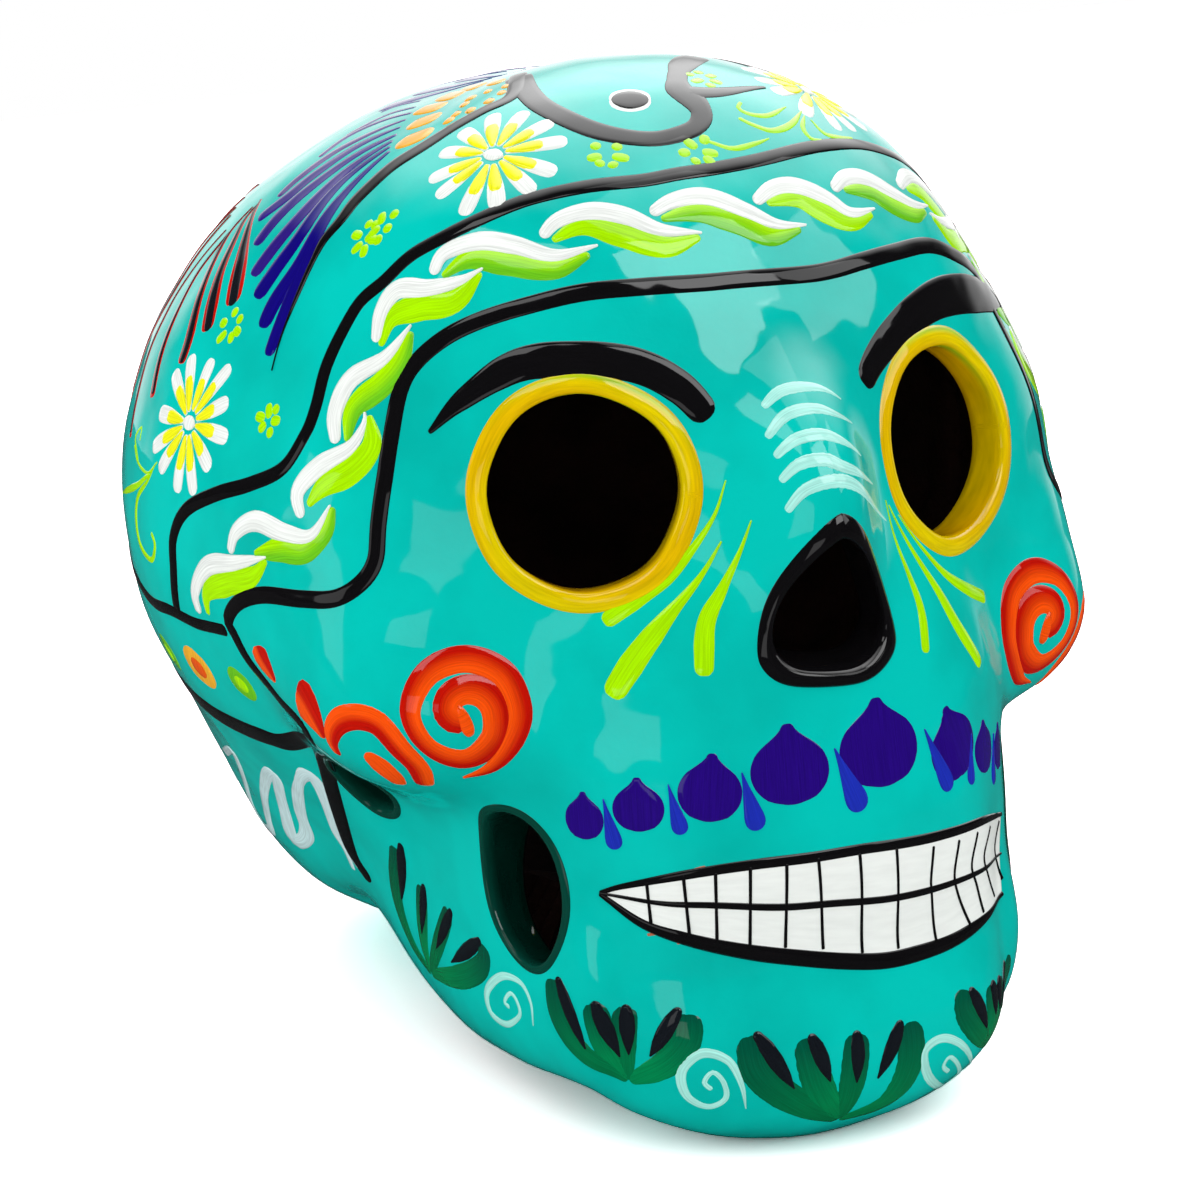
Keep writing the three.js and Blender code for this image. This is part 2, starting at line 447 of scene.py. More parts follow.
def brush_finish(name, depth=STREAK_DEPTH):
    finish, tree = new_finish(name)
    way = add_node(tree, "Attribute", "Vector", attribute_name="brush_way")
    stretched = add_node(tree, "Mapping", "Vector",
                         {"Vector": way, "Scale": (STREAK_ALONG, STREAK_ACROSS, 1.0)})
    streak = noise(tree, stretched, scale=1.0, detail=3.0)
    shade = add_node(tree, "MapRange", "Result", {
        "Value": streak, "From Min": NOISE_LOW, "From Max": NOISE_HIGH,
        "To Min": 1.0 - depth, "To Max": 1.0 + depth * STREAK_LIGHTENS,
    })
    paint = add_node(tree, "VertexColor", "Color", layer_name="paint")
    colour = add_node(tree, "VectorMath", "Vector", {0: paint, "Scale": shade}, operation="SCALE")
    varnish_over(tree, colour, bump(tree, streak, STREAK_BUMP))
    return finish


brush_paint = brush_finish("brush_paint_under_varnish")
smooth_paint = brush_finish("smooth_paint_under_varnish", SMOOTH_STREAK_DEPTH)
print("brush paints:", brush_paint.name, "and", smooth_paint.name)

# %% [markdown]
# Bare clay
# Inside and underneath the skull isn't painted: fired red clay, matt and gritty, with darker
# patches of its own. Both clay colours are far darker than the bare clay of the chips outside, as
# painted shade of the hollow. It shows only through the openings, so patches and grit from two
# noises are enough.

# %% Bare fired clay
CLAY_ROUGHNESS = 0.9
CLAY_PATCHES = 60.0
CLAY_GRIT = 900.0
GRIT_DEPTH = 0.0003


def clay_finish():
    finish, tree = new_finish("bare_fired_clay_painted_shade")
    place = add_node(tree, "TexCoord", "Object")
    patches = noise(tree, place, CLAY_PATCHES, detail=5.0)
    grit = noise(tree, place, CLAY_GRIT, detail=4.0)
    # The clay colours carry painted shade of the hollow; the patches between them are the clay's
    # own.
    show(tree, "Material", add_node(tree, "BsdfPrincipled", "BSDF", {
        "Base Color": blend_colours(tree, patches, DARKER_CLAY_IN_PAINTED_SHADE, CLAY_IN_PAINTED_SHADE),
        "Normal": bump(tree, grit, GRIT_DEPTH), "Roughness": CLAY_ROUGHNESS,
    }))
    return finish


bare_clay_painted_shade = clay_finish()
print(bare_clay_painted_shade.name, "has", len(bare_clay_painted_shade.node_tree.nodes), "nodes")

# %% [markdown]
# From points to pieces
# Every piece is a mesh in metres that rides on the skull's one body. A piece could be made with
# Blender's own tools one by one, but here all of them come from lists of points, so three helpers
# are enough: a mesh from points, the faces of a closed ring of profiles, and the paint on a mesh.

# %% Mesh helpers
def new_mesh(name, points, faces):
    """A mesh from places in millimetres."""
    mesh = bpy.data.meshes.new(name)
    mesh.from_pydata((np.asarray(points) * MM).tolist(), [], [list(f) for f in faces])
    mesh.validate()
    return mesh


def add_piece(name, points, faces, finish):
    mesh = new_mesh(name, points, faces)
    mesh.materials.append(finish)
    mesh.polygons.foreach_set("use_smooth", [True] * len(mesh.polygons))
    piece = put_in_scene(name, mesh)
    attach(piece, "root")
    return piece


def ring_faces(around, along):
    """Quads of a closed loop of profiles: around profiles with along points each."""
    faces = []
    for i in range(around):
        j = (i + 1) % around
        for k in range(along):
            m = (k + 1) % along
            faces.append((i * along + k, j * along + k, j * along + m, i * along + m))
    return faces


def store_paint(mesh, colours, ways):
    """Stores each point's colour and how far it lies along and across its stroke."""
    layer = mesh.color_attributes.new("paint", "FLOAT_COLOR", "POINT")
    layer.data.foreach_set("color", np.c_[colours, np.ones(len(colours))].ravel())
    way = mesh.attributes.new("brush_way", "FLOAT_VECTOR", "POINT")
    way.data.foreach_set("vector", np.asarray(ways, float).ravel())


print("a ring of 12 profiles with 6 points each has", len(ring_faces(12, 6)), "faces")

# %% [markdown]
# The openings
# Each opening is an outline drawn on a plane that faces outwards, as in the CAD part. We repeat its
# sizes here. The outline can grow by the width of its lip, so one function serves the cut in the
# wall and the painted rim round it.

# %% Openings
EYE = {"spot": (35.5, 113.9), "half": (16.4, 16.4), "lean": 0.0, "lip": 3.6}
NOSE = {"spot": (0.0, 96.0), "half_width": 10.6, "height": 23.0, "lip": 2.8}
CHEEK_HOLE = {"spot": (-57.9, 45.3), "half": (10.5, 14.7), "lean": -18.5, "lip": 1.6}
TEMPLE_HOLE = {"spot": (-18.2, 54.0), "half": (7.0, 9.0), "lean": 0.0, "lip": 1.6}
PAINT_INSIDE = 1.2
BASE_HOLE = {"y": 40.0, "half_width": 11.0, "half_length": 8.0}
OUTLINE_POINTS = 96
OUTLINE_TURN = np.linspace(0, 2 * math.pi, OUTLINE_POINTS, endpoint=False)
NOSE_SIDE = [[(0, "top", 0), (0.45, "top", -1), (1.05, "low", 10), (1, "low", 5)],
             [(1, "low", 5), (0.95, "low", 1), (0.5, "low", 0), (0, "low", 0)]]
NOSE_TOP_GROWS = 1.5
FACE_LINE_START, FACE_LINE_LENGTH = 40.0, 160.0
SIDE_LINE_LENGTH = 120.0


def face_point(x, z):
    start = np.array([[x, FACE_LINE_START, z]])
    return outermost(start, np.array([[0.0, -1.0, 0.0]]), far=FACE_LINE_LENGTH)[0]


def side_point(y, z):
    return outermost(np.array([[0.0, y, z]]), np.array([[1.0, 0.0, 0.0]]), far=SIDE_LINE_LENGTH)[0]


def oval(half, lean):
    lean = math.radians(lean)

    def outline(grow):
        x, y = (half[0] + grow) * np.cos(OUTLINE_TURN), (half[1] + grow) * np.sin(OUTLINE_TURN)
        return np.stack([x * math.cos(lean) - y * math.sin(lean),
                         x * math.sin(lean) + y * math.cos(lean)], 1)
    return outline


def bezier(p0, p1, p2, p3, count):
    t = np.linspace(0, 1, count, endpoint=False)[:, None]
    p0, p1, p2, p3 = (np.array(p, float) for p in (p0, p1, p2, p3))
    return ((1 - t) ** 3) * p0 + 3 * t * (1 - t) ** 2 * p1 + 3 * t * t * (1 - t) * p2 + t**3 * p3


def nose_outline(grow):
    """One side as two curves, from the top to the widest place and on to the middle, and its mirror
    image. Their points are shares of the half width and millimetres above the top or the bottom."""
    half = NOSE["half_width"] + grow
    edge = {"top": NOSE["height"] / 2 + grow * NOSE_TOP_GROWS, "low": -NOSE["height"] / 2 - grow}
    curves = [[(half * share, edge[end] + above) for share, end, above in curve]
              for curve in NOSE_SIDE]
    curves += [[(-x, y) for x, y in reversed(curve)] for curve in reversed(curves)]
    return np.concatenate([bezier(*curve, OUTLINE_POINTS // 4) for curve in curves])[::-1]


def opening(name, outline, centre, lip):
    """An outline with the place and the directions of the plane that it is drawn on."""
    outward = skin_height(centre[None], waves=False)[1][0]
    right = np.cross([0, 0, 1], outward)
    right /= np.linalg.norm(right)
    return {"name": name, "outline": outline, "centre": centre, "outward": outward,
            "right": right, "up": np.cross(outward, right), "lip": lip}


def on_plane(hole, flat):
    """Places on an opening's plane."""
    return hole["centre"] + flat[:, :1] * hole["right"] + flat[:, 1:] * hole["up"]


def all_openings():
    found = [opening("nose", nose_outline, face_point(*NOSE["spot"]), NOSE["lip"])]
    places = [("eye", EYE, face_point(*EYE["spot"])),
              ("cheek", CHEEK_HOLE, side_point(*CHEEK_HOLE["spot"])),
              ("temple", TEMPLE_HOLE, side_point(*TEMPLE_HOLE["spot"]))]
    for name, hole, place in places:
        for side, word in ((1, "left"), (-1, "right")):
            inside = 0.0 if name == "eye" else PAINT_INSIDE
            outline = oval([half - inside for half in hole["half"]], hole["lean"] * side)
            centre = place * np.array([side, 1, 1])
            found.append(opening(f"{word}_{name}", outline, centre, hole["lip"]))
    return found


openings = all_openings()
for hole in openings:
    print(hole["name"], "at", hole["centre"].round(1), "facing", hole["outward"].round(2))

# %% [markdown]
# The clay wall
# The outer skin is a fine ball of triangles pushed out onto the formula, and the inner skin a
# coarser one, a wall's thickness deeper. Boolean modifiers with the Manifold solver take the inner
# ball, the openings and everything below the table away, as a potter's knife would.

# %% Skins
OUTER_FINENESS = 7
INNER_FINENESS = 6


def ball_directions(fineness):
    ball = bmesh.new()
    bmesh.ops.create_icosphere(ball, subdivisions=fineness, radius=1.0)
    points = np.array([v.co[:] for v in ball.verts])
    faces = [[v.index for v in f.verts] for f in ball.faces]
    ball.free()
    return points / np.linalg.norm(points, axis=1, keepdims=True), faces


def skin_ball(name, level, fineness):
    ways, faces = ball_directions(fineness)
    points = outermost(np.repeat(INSIDE_POINT[None], len(ways), 0), ways, level)
    return put_in_scene(name, new_mesh(name, points, faces))


outer_skin = skin_ball("outer_skin", 0.0, OUTER_FINENESS)
inner_skin = skin_ball("inner_skin", -WALL, INNER_FINENESS)
print("outer skin", len(outer_skin.data.polygons), "triangles, inner skin",
      len(inner_skin.data.polygons))

# %% Cutters
PLUG_OUT, PLUG_IN = 12.0, 22.0
PLUG_GROWS = 0.7
SHAFT_HALF = 20.0
TABLE_BLOCK = 300.0


def prism(name, ring_low, ring_high):
    count = len(ring_low)
    points = np.concatenate([ring_low, ring_high])
    faces = [tuple(reversed(range(count))), tuple(range(count, 2 * count))]
    faces += [(i, (i + 1) % count, count + (i + 1) % count, count + i) for i in range(count)]
    return put_in_scene(name, new_mesh(name, points, faces))


def plug(hole):
    ring = on_plane(hole, hole["outline"](hole["lip"] * PLUG_GROWS))
    return prism("plug", ring - hole["outward"] * PLUG_IN, ring + hole["outward"] * PLUG_OUT)


def base_shaft():
    x = BASE_HOLE["half_width"] * np.cos(OUTLINE_TURN)
    y = BASE_HOLE["y"] + BASE_HOLE["half_length"] * np.sin(OUTLINE_TURN)
    ring = np.stack([x, y, np.zeros_like(x)], 1)
    return prism("shaft", ring - [0, 0, SHAFT_HALF], ring + [0, 0, SHAFT_HALF])


def table_block():
    half = TABLE_BLOCK / 2
    corners = np.array([[-half, -half, 0], [half, -half, 0],
                        [half, half, 0], [-half, half, 0]], float)
    return prism("table", corners - [0, 0, TABLE_BLOCK], corners)


cutters = [inner_skin, table_block(), base_shaft()] + [plug(hole) for hole in openings]
print("cutters:", len(cutters))

# %% Cutting the wall
BARE_BELOW = -0.4
TABLE_HEIGHT = 0.05
SHARP_EDGE = 50


def cut_away(body, tools):
    for cutter in tools:
        cut = body.modifiers.new("cut", "BOOLEAN")
        cut.operation = "DIFFERENCE"
        cut.solver = "MANIFOLD"
        cut.object = cutter
    evaluated = body.evaluated_get(bpy.context.evaluated_depsgraph_get())
    mesh = bpy.data.meshes.new_from_object(evaluated)
    for thing in tools + [body]:
        bpy.data.objects.remove(thing)
    return mesh


def painted_wall():
    mesh = cut_away(outer_skin, cutters)
    mesh.name = "painted_clay_wall"
    mesh.materials.clear()
    mesh.materials.append(teal_paint)
    mesh.materials.append(bare_clay_painted_shade)
    centres = np.zeros(len(mesh.polygons) * 3)
    mesh.polygons.foreach_get("center", centres)
    centres = centres.reshape(-1, 3) / MM
    height, _ = skin_height(centres)
    bare = (height < BARE_BELOW) | (centres[:, 2] < TABLE_HEIGHT)
    mesh.polygons.foreach_set("material_index", bare.astype(np.int32))
    mesh.polygons.foreach_set("use_smooth", [True] * len(mesh.polygons))
    mesh.set_sharp_from_angle(angle=math.radians(SHARP_EDGE))
    piece = put_in_scene("painted_clay_wall", mesh)
    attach(piece, "root")
    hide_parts("face_half", "back_half")
    return piece


wall = painted_wall()
print("wall:", len(wall.data.polygons), "faces")

# %% [markdown]
# Painted rims
# Where the clay was cut, the edge is smoothed with a wet finger into a soft lip and painted. A rim
# is a profile swept round the outline: it starts under the teal paint, swells, rolls over the edge,
# runs down the cut wall and ends inside. Each profile point says how far outside the outline it
# lies, from which skin it is measured and how high above that skin.

# %% Rim profile
RIM_HALVINGS = 18


def lifted(hole, flat, level, rise):
    """Points straight above an outline, measured from the outer skin or the inner one."""
    starts = on_plane(hole, flat)
    low, high = np.full(len(flat), -PLUG_IN), np.full(len(flat), PLUG_OUT)
    met = crossing(starts, hole["outward"], low, high, level, RIM_HALVINGS)
    return starts + hole["outward"] * (met + rise)[:, None]


def rim_profile(lip, swell):
    """(distance outside the outline, skin measured from, height above it), going inwards."""
    outer, inner = 0.0, -WALL
    return [
        (lip + 0.15, outer, -0.30), (lip, outer, 0.06),
        (lip * 0.86, outer, swell * 0.45), (lip * 0.62, outer, swell * 0.85),
        (lip * 0.4, outer, swell), (lip * 0.2, outer, swell * 0.8),
        (lip * 0.06, outer, swell * 0.2), (0.0, outer, -0.7), (-0.05, outer, -2.2),
        (0.0, inner, 1.6), (0.05, inner, 0.3), (lip * 0.25, inner, -0.35),
        (lip * 0.7, inner, -0.35), (lip, inner, 0.4), (lip + 0.15, outer, -2.5),
    ]


print("a rim has", len(rim_profile(EYE["lip"], 0.6)), "profile points")

# %% Rims
RIM_PAINT = {"nose": ("black_paint", 0.9), "eye": ("yellow_paint", 0.6),
             "cheek": ("dark_green_paint", 0.35), "temple": ("dark_green_paint", 0.3)}
WOBBLE, WOBBLE_SEED = 0.28, 20
WOBBLE_WAVES, LATEST_START = range(2, 9), 6.28
FULL_WOBBLE_LIP = 3
CUT_WALL_ROW, INSIDE_ROW = 8, 11
CUT_WALL_PAINTED_SHADE = 0.4
WARM, WARM_SWING, WARM_START, WARM_PER_ROW = 0.35, 0.35, 1.0, 0.5
WARM_BELOW, LAST_LIP_ROW = 0.3, 6
GREEN_TOUCH, GREEN_START, GREEN_ROWS = 0.7, 0.3, (2, 7)
STREAK_TURN, STREAK_ROW = 1.1, 0.6


def rim_wobble(hole_index, amount):
    """The cut was made by hand, so the outline wanders a little."""
    dice = np.random.default_rng(WOBBLE_SEED + hole_index)
    wander = np.zeros(OUTLINE_POINTS)
    for wave in WOBBLE_WAVES:
        wander += dice.normal() / wave * np.sin(wave * OUTLINE_TURN + dice.uniform(0, LATEST_START))
    return wander * amount


def eye_colours(turn, row):
    """Yellow that drifts to egg yellow and down the roll, with a touch of green on one side."""
    warm = WARM + WARM_SWING * np.sin(2 * turn + WARM_PER_ROW * row + WARM_START)
    warm = warm + WARM_BELOW * (row > LAST_LIP_ROW)
    green = GREEN_TOUCH * np.clip(np.sin(turn + GREEN_START), 0, 1) ** 3 * np.isin(row, GREEN_ROWS)
    return (YELLOW * (1 - warm) + EGG_YELLOW * warm) * (1 - green) + GRASS * green


def rim_colours(kind, steps):
    """A colour for each profile point: the face of the lip, then its roll, then the cut wall."""
    if kind == "eye":
        return eye_colours(OUTLINE_TURN[:, None, None], np.arange(steps)[None, :, None])
    colours = np.zeros((OUTLINE_POINTS, steps, 3))
    colours[:] = BLACK if kind == "nose" else DARK_GREEN
    if kind != "nose":
        # The cut wall gets the lip's dark green dimmed, and the rows inside get the clay colour:
        # both are painted shade inside the opening.
        colours[:, CUT_WALL_ROW:INSIDE_ROW] = DARK_GREEN * CUT_WALL_PAINTED_SHADE
        colours[:, INSIDE_ROW:] = DARKER_CLAY_IN_PAINTED_SHADE
    return colours


def make_rim(index, hole):
    kind = hole["name"].split("_")[-1]
    slot, swell = RIM_PAINT[kind]
    profile = rim_profile(hole["lip"], swell)
    wander = rim_wobble(index, WOBBLE * min(1.0, hole["lip"] / FULL_WOBBLE_LIP))
    columns = []
    for grow, level, rise in profile:
        flat = hole["outline"](grow)
        away = flat / np.linalg.norm(flat, axis=1, keepdims=True)
        columns.append(lifted(hole, flat + away * wander[:, None], level, rise))
    points = np.stack(columns, 1).reshape(-1, 3)
    piece = add_piece(hole["name"] + "_painted_rim", points,
                      ring_faces(OUTLINE_POINTS, len(profile)), brush_paint)
    around = np.repeat(np.arange(OUTLINE_POINTS) * STREAK_TURN, len(profile))
    across = np.tile(np.arange(len(profile)) * STREAK_ROW, OUTLINE_POINTS)
    store_paint(piece.data, rim_colours(kind, len(profile)).reshape(-1, 3),
                np.stack([around, across, np.full(len(around), index)], 1))
    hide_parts(hole["name"] + "_rim")
    return piece


rims = [make_rim(index, hole) for index, hole in enumerate(openings)]
print("rims:", [rim.name for rim in rims])

# %% [markdown]
# The slip inside
# The halves were joined with a thick strip of slip, pressed along the seam from the inside. It
# shows only as a shadow through the openings, but it is there on the real skull.

# %% Slip seam
SEAM_Y = 6.0
SEAM_WIDTH = 12.0
SEAM_THICKNESS = 2.4
SEAM_STEPS = 120
THINNEST_LUMP = 0.75
SEAM_PROFILE = [(-0.5, 0.3), (-0.36, -0.7), (-0.12, -1.0), (0.12, -1.0), (0.36, -0.7), (0.5, 0.3)]


def slip_seam():
    turn = np.linspace(0, 2 * math.pi, SEAM_STEPS, endpoint=False)
    ways = np.stack([np.sin(turn), np.zeros(SEAM_STEPS), np.cos(turn)], 1)
    lumps = np.random.default_rng(8).uniform(THINNEST_LUMP, 1.0, SEAM_STEPS)
    columns = []
    for across, depth in SEAM_PROFILE:
        start = np.array([[0.0, SEAM_Y + across * SEAM_WIDTH, INSIDE_POINT[2]]])
        at_wall = outermost(np.repeat(start, SEAM_STEPS, 0), ways, -WALL)
        inward = np.where(depth < 0, depth * SEAM_THICKNESS * lumps, depth)
        columns.append(at_wall + ways * inward[:, None])
    points = np.stack(columns, 1).reshape(-1, 3)
    faces = ring_faces(SEAM_STEPS, len(SEAM_PROFILE))
    return add_piece("slip_seam", points, faces, bare_clay_painted_shade)


seam = slip_seam()
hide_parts("seam_lute")
print("slip seam:", len(seam.data.polygons), "faces")

# %% [markdown]
# One brush stroke
# A stroke of liner paint is a thin raised ribbon with round edges. We could paint a texture, but a
# mesh stays sharp at any distance and catches light on its edge, as real paint does. The function
# takes the places that the brush passed, the widths along the way and one or two colours. It
# draws a smooth curve through the places, lays a grid across it, settles the grid onto the skin and
# closes it underneath.

# %% Smooth path on the skin
PATH_STEP, FINE_STEP, FINEST_STEP = 0.9, 0.6, 0.5
CURVE_FINER = 1.5


def distance_along(curve):
    """How far along a curve each of its points lies."""
    return np.concatenate([[0], np.cumsum(np.linalg.norm(np.diff(curve, axis=0), axis=1))])


def smooth_path(places, step=PATH_STEP):
    """A curve through the places with even steps, kept on the skin."""
    places = np.asarray(places, float)
    if len(places) == 2:
        places = np.array([places[0], places.mean(0), places[1]])
    before, after = 2 * places[0] - places[1], 2 * places[-1] - places[-2]
    knots = np.concatenate([[before], places, [after]])
    curve = []
    for i in range(1, len(knots) - 2):
        p0, p1, p2, p3 = knots[i - 1:i + 3]
        count = max(2, int(np.linalg.norm(p2 - p1) / step * CURVE_FINER))
        t = np.linspace(0, 1, count, endpoint=False)[:, None]
        curve.append(0.5 * (2 * p1 + (p2 - p0) * t + (2 * p0 - 5 * p1 + 4 * p2 - p3) * t**2
                            + (3 * p1 - p0 - 3 * p2 + p3) * t**3))
    curve = settle(np.concatenate(curve + [places[-1:]]))
    return curve, distance_along(curve)


def resample(curve, length, marks):
    return np.stack([np.interp(marks, length, curve[:, k]) for k in range(3)], 1)


eye_x, eye_z = EYE["spot"]
eye_to_eye = smooth_path([face_point(x, eye_z) for x in (-eye_x, 0, eye_x)])
print("from eye to eye along the skin:", eye_to_eye[1][-1].round(1), "mm")

# %% Marks and widths along a stroke
THIN_END = 0.3
LONGEST_END = 0.45
THINNEST = 0.05
END_EASE = np.array([0.0, 0.04, 0.15, 0.35, 0.65, 1.0])


def end_marks(total, ends, step):
    """Even marks along the path, closer together where the ends are round."""
    start = END_EASE * ends[0]
    end = total - END_EASE[::-1] * ends[1]
    count = max(2, int((end[0] - start[-1]) / step) + 1)
    middle = np.linspace(start[-1], end[0], count + 1)
    return np.concatenate([start[:-1], middle, end[1:]])


def path_widths(total, widths, step):
    """Marks along the path, the width at each, and how near it is to the middle part, up to 1."""
    widths = np.atleast_1d(np.asarray(widths, float))
    if len(widths) == 1:
        widths = np.repeat(widths, 2)
    ends = [min(max(width, THIN_END) / 2, total * LONGEST_END) for width in (widths[0], widths[-1])]
    marks = end_marks(total, ends, step)
    past_start = np.clip(marks / ends[0], 0, 1)
    before_end = np.clip((total - marks) / ends[1], 0, 1)
    wide = np.interp(marks, np.linspace(0, total, len(widths)), widths)
    wide = wide * np.sqrt(1 - (1 - past_start) ** 2) * np.sqrt(1 - (1 - before_end) ** 2)
    return marks, np.maximum(wide, THINNEST), np.minimum(past_start, before_end)


print("marks on a stroke of 10 mm:", path_widths(10.0, 3.0, PATH_STEP)[0].round(2))

# %% Stroke grid
EDGE_DIP = -0.05
COLUMN_WIDTH = 1.3
FEWEST_COLUMNS, EDGE_COLUMNS = 5, 3
PAINT_CHANGE = 5
TAIL_FASTER, TAIL_LATER = 1.6, 0.5
END_RISE = 1.5
LINER_RISE = 0.16


def stroke_colours(across, run, colour, edge, tail):
    """A brush can carry a second colour on one side, or run out in another one."""
    colours = np.broadcast_to(colour, (len(run), len(across), 3)).copy()
    if edge is not None:
        share = ((across + 1) / 2)[None, :, None]
        blend = np.clip((share - 0.5) * PAINT_CHANGE + 0.5, 0, 1)
        colours = colours * (1 - blend) + np.asarray(edge) * blend
    if tail is not None:
        late = np.clip(run[:, None, None] * TAIL_FASTER - TAIL_LATER, 0, 1)
        colours = colours * (1 - late) + np.asarray(tail) * late
    return colours


def stroke(places, widths, colour, rise=LINER_RISE, base=0.0, edge=None, tail=None, step=PATH_STEP):
    """One brush stroke. widths are spread evenly from start to end; rise is the height of the paint
    and base that of the paint below it; edge is the colour of one side; tail is the colour that the
    stroke runs out in."""
    curve, length = smooth_path(places, step)
    marks, wide, near_middle = path_widths(length[-1], widths, step)
    line = resample(curve, length, marks)
    ahead = np.gradient(line, axis=0)
    ahead /= np.maximum(np.linalg.norm(ahead, axis=1, keepdims=True), NOT_ZERO)
    sideways = np.cross(ahead, skin_height(line)[1])
    columns = max(FEWEST_COLUMNS, int(wide.max() / COLUMN_WIDTH) + EDGE_COLUMNS)
    across = np.sin(np.linspace(-math.pi / 2, math.pi / 2, columns))
    crown = np.sqrt(np.clip(1 - across**4, 0, 1))[None]
    shoulder = np.clip(near_middle[:, None] * END_RISE, 0, 1)
    tops = base + EDGE_DIP + (rise - EDGE_DIP) * crown * shoulder
    ways = np.broadcast_arrays(marks[:, None], across[None] * wide[:, None], 0.0)
    return {"grid": line[:, None] + sideways[:, None] * (across[:, None] * wide[:, None, None] / 2),
            "tops": tops,
            "colours": stroke_colours(across, marks / length[-1], colour, edge, tail),
            "ways": np.stack(ways, -1)}


trial = stroke([globe(0, 40), globe(0, 60)], 3.0, BLACK)
print("a trial stroke has", trial["tops"].shape, "points and is",
      trial["tops"].max().round(2), "mm high")

# %% [markdown]
# Widths from the picture
# Where a stroke's width changes, it is read in the photograph together with its path, in pixels. A
# width is turned into millimetres by finding both of its ends on the skin. Near the edge of the
# picture the skin turns away and that would overshoot, so a pixel counts for a third of a
# millimetre at most. The rim of a stroke lies under the skin, so it is made a little wider.

# %% Widths read in the photograph
MOST_STRETCH = 0.36
PAINT_SHOWN = 1.16


def stroke_seen(pixels, spans, colour, **more):
    """A stroke whose path and widths, one for each point, are both read in the photograph."""
    path = np.array(pixels, float)
    ahead = np.gradient(path, axis=0)
    aside = np.stack([-ahead[:, 1], ahead[:, 0]], 1) / np.linalg.norm(ahead, axis=1, keepdims=True)
    widths = []
    for place, way, span in zip(path, aside, spans):
        gap = seen(*(place - way * span / 2)) - seen(*(place + way * span / 2))
        widths.append(min(np.linalg.norm(gap), span * MOST_STRETCH) * PAINT_SHOWN)
    places = traced(path)
    length = distance_along(places)
    even_stops = np.linspace(0, length[-1], 2 * len(places))
    return stroke(places, np.interp(even_stops, length, widths), colour, **more)


one_pixel = np.linalg.norm(seen(600, 600) - seen(601, 600))
print("a pixel in the middle of the picture is", one_pixel.round(2), "mm on the skin")

# %% [markdown]
# From strokes to a piece
# A motif of many strokes is one piece, so that the list of pieces stays short. Each stroke's grid
# is settled at its own heights above the skin for the top, and just below the skin for the
# underside, and the two sheets are closed along their edges. The other half of the skull often has
# the same motif, and then its strokes are mirrored.

# %% Strokes to one piece
UNDERSIDE = -0.3
SETTLE_ROUNDS = 3
STROKE_SHIFT = 7.3


def grid_faces(rows, columns, start):
    """Top sheet, underside and the four edges between them."""
    size = rows * columns
    quads = []
    for i in range(rows - 1):
        for k in range(columns - 1):
            a = start + i * columns + k
            b, c, d = a + columns, a + columns + 1, a + 1
            quads.append((a, b, c, d))
            quads.append((a + size, d + size, c + size, b + size))
    for i in range(rows - 1):
        a = start + i * columns
        b = a + columns
        quads.append((a, a + size, b + size, b))
        c, d = a + columns - 1, b + columns - 1
        quads.append((c, d, d + size, c + size))
    for k in range(columns - 1):
        a = start + k
        quads.append((a, a + 1, a + 1 + size, a + size))
        c = start + (rows - 1) * columns + k
        quads.append((c, c + size, c + 1 + size, c + 1))
    return quads


def lay_strokes(name, strokes, finish=brush_paint):
    """Settles all the strokes of one motif onto the skin and joins them into a piece."""
    tops = np.concatenate([s["grid"].reshape(-1, 3) for s in strokes])
    rise = np.concatenate([s["tops"].ravel() for s in strokes])
    upper = settle(tops, rise, rounds=SETTLE_ROUNDS)
    under = settle(tops, np.full(len(tops), UNDERSIDE), rounds=SETTLE_ROUNDS)
    points, colours, ways, faces = [], [], [], []
    first, start = 0, 0
    for number, s in enumerate(strokes):
        rows, columns = s["tops"].shape
        size = rows * columns
        part = slice(first, first + size)
        points += [upper[part], under[part]]
        colours += [s["colours"].reshape(-1, 3)] * 2
        shifted = s["ways"].reshape(-1, 3) + np.array([0.0, 0.0, number * STROKE_SHIFT])
        ways += [shifted] * 2
        faces += grid_faces(rows, columns, start)
        first += size
        start += 2 * size
    piece = add_piece(name, np.concatenate(points), faces, finish)
    store_paint(piece.data, np.concatenate(colours), np.concatenate(ways))
    print(name, "has", len(strokes), "strokes and", len(faces), "faces")
    return piece


print("a closed grid of 4 by 3 points has", len(grid_faces(4, 3, 0)), "faces")

# %% Both sides
def twins(strokes):
    """The same strokes on the other half of the skull."""
    found = []
    for s in strokes:
        twin = {key: s[key][:, ::-1] for key in ("tops", "colours", "ways")}
        twin["grid"] = mirrored(s["grid"])[:, ::-1]
        found.append(twin)
    return found


def both(strokes):
    return list(strokes) + twins(strokes)


print("the trial stroke's twin starts at", twins([trial])[0]["grid"][0, 0].round(1))

# %% [markdown]
# Brows
# Two black brows arch over the eyes. They start thin at the temple and end round beside the nose.
# A flat brush that is pressed and lifted makes that shape in one go, so each is one stroke whose
# width changes along the way.

# %% Brows
BROW_PIXELS = [(430, 434), (463, 400), (518, 366), (580, 360), (637, 366), (680, 388), (711, 420)]
BROW_WIDTHS = [0.8, 3.8, 5.6, 6.4, 6.5, 6.3, 6.0, 5.0]
LEFT_BROW_PIXELS = [(1004, 300), (975, 294), (942, 297), (914, 313), (890, 336), (871, 362),
                    (862, 386)]
LEFT_BROW_WIDTHS = [3.0, 6.6, 7.6, 7.6, 7.0, 6.0, 4.8]
BROW_RISE = 0.22
lay_strokes("brows", [stroke(traced(BROW_PIXELS), BROW_WIDTHS, BLACK, rise=BROW_RISE),
                      stroke(traced(LEFT_BROW_PIXELS), LEFT_BROW_WIDTHS, BLACK, rise=BROW_RISE)])

# %% [markdown]
# The nose bridge
# Five pale strokes lie across the nose bridge like ribs. The paint is thinned with water, so it
# stands up less than the black of the brows and runs out to a point on the left.

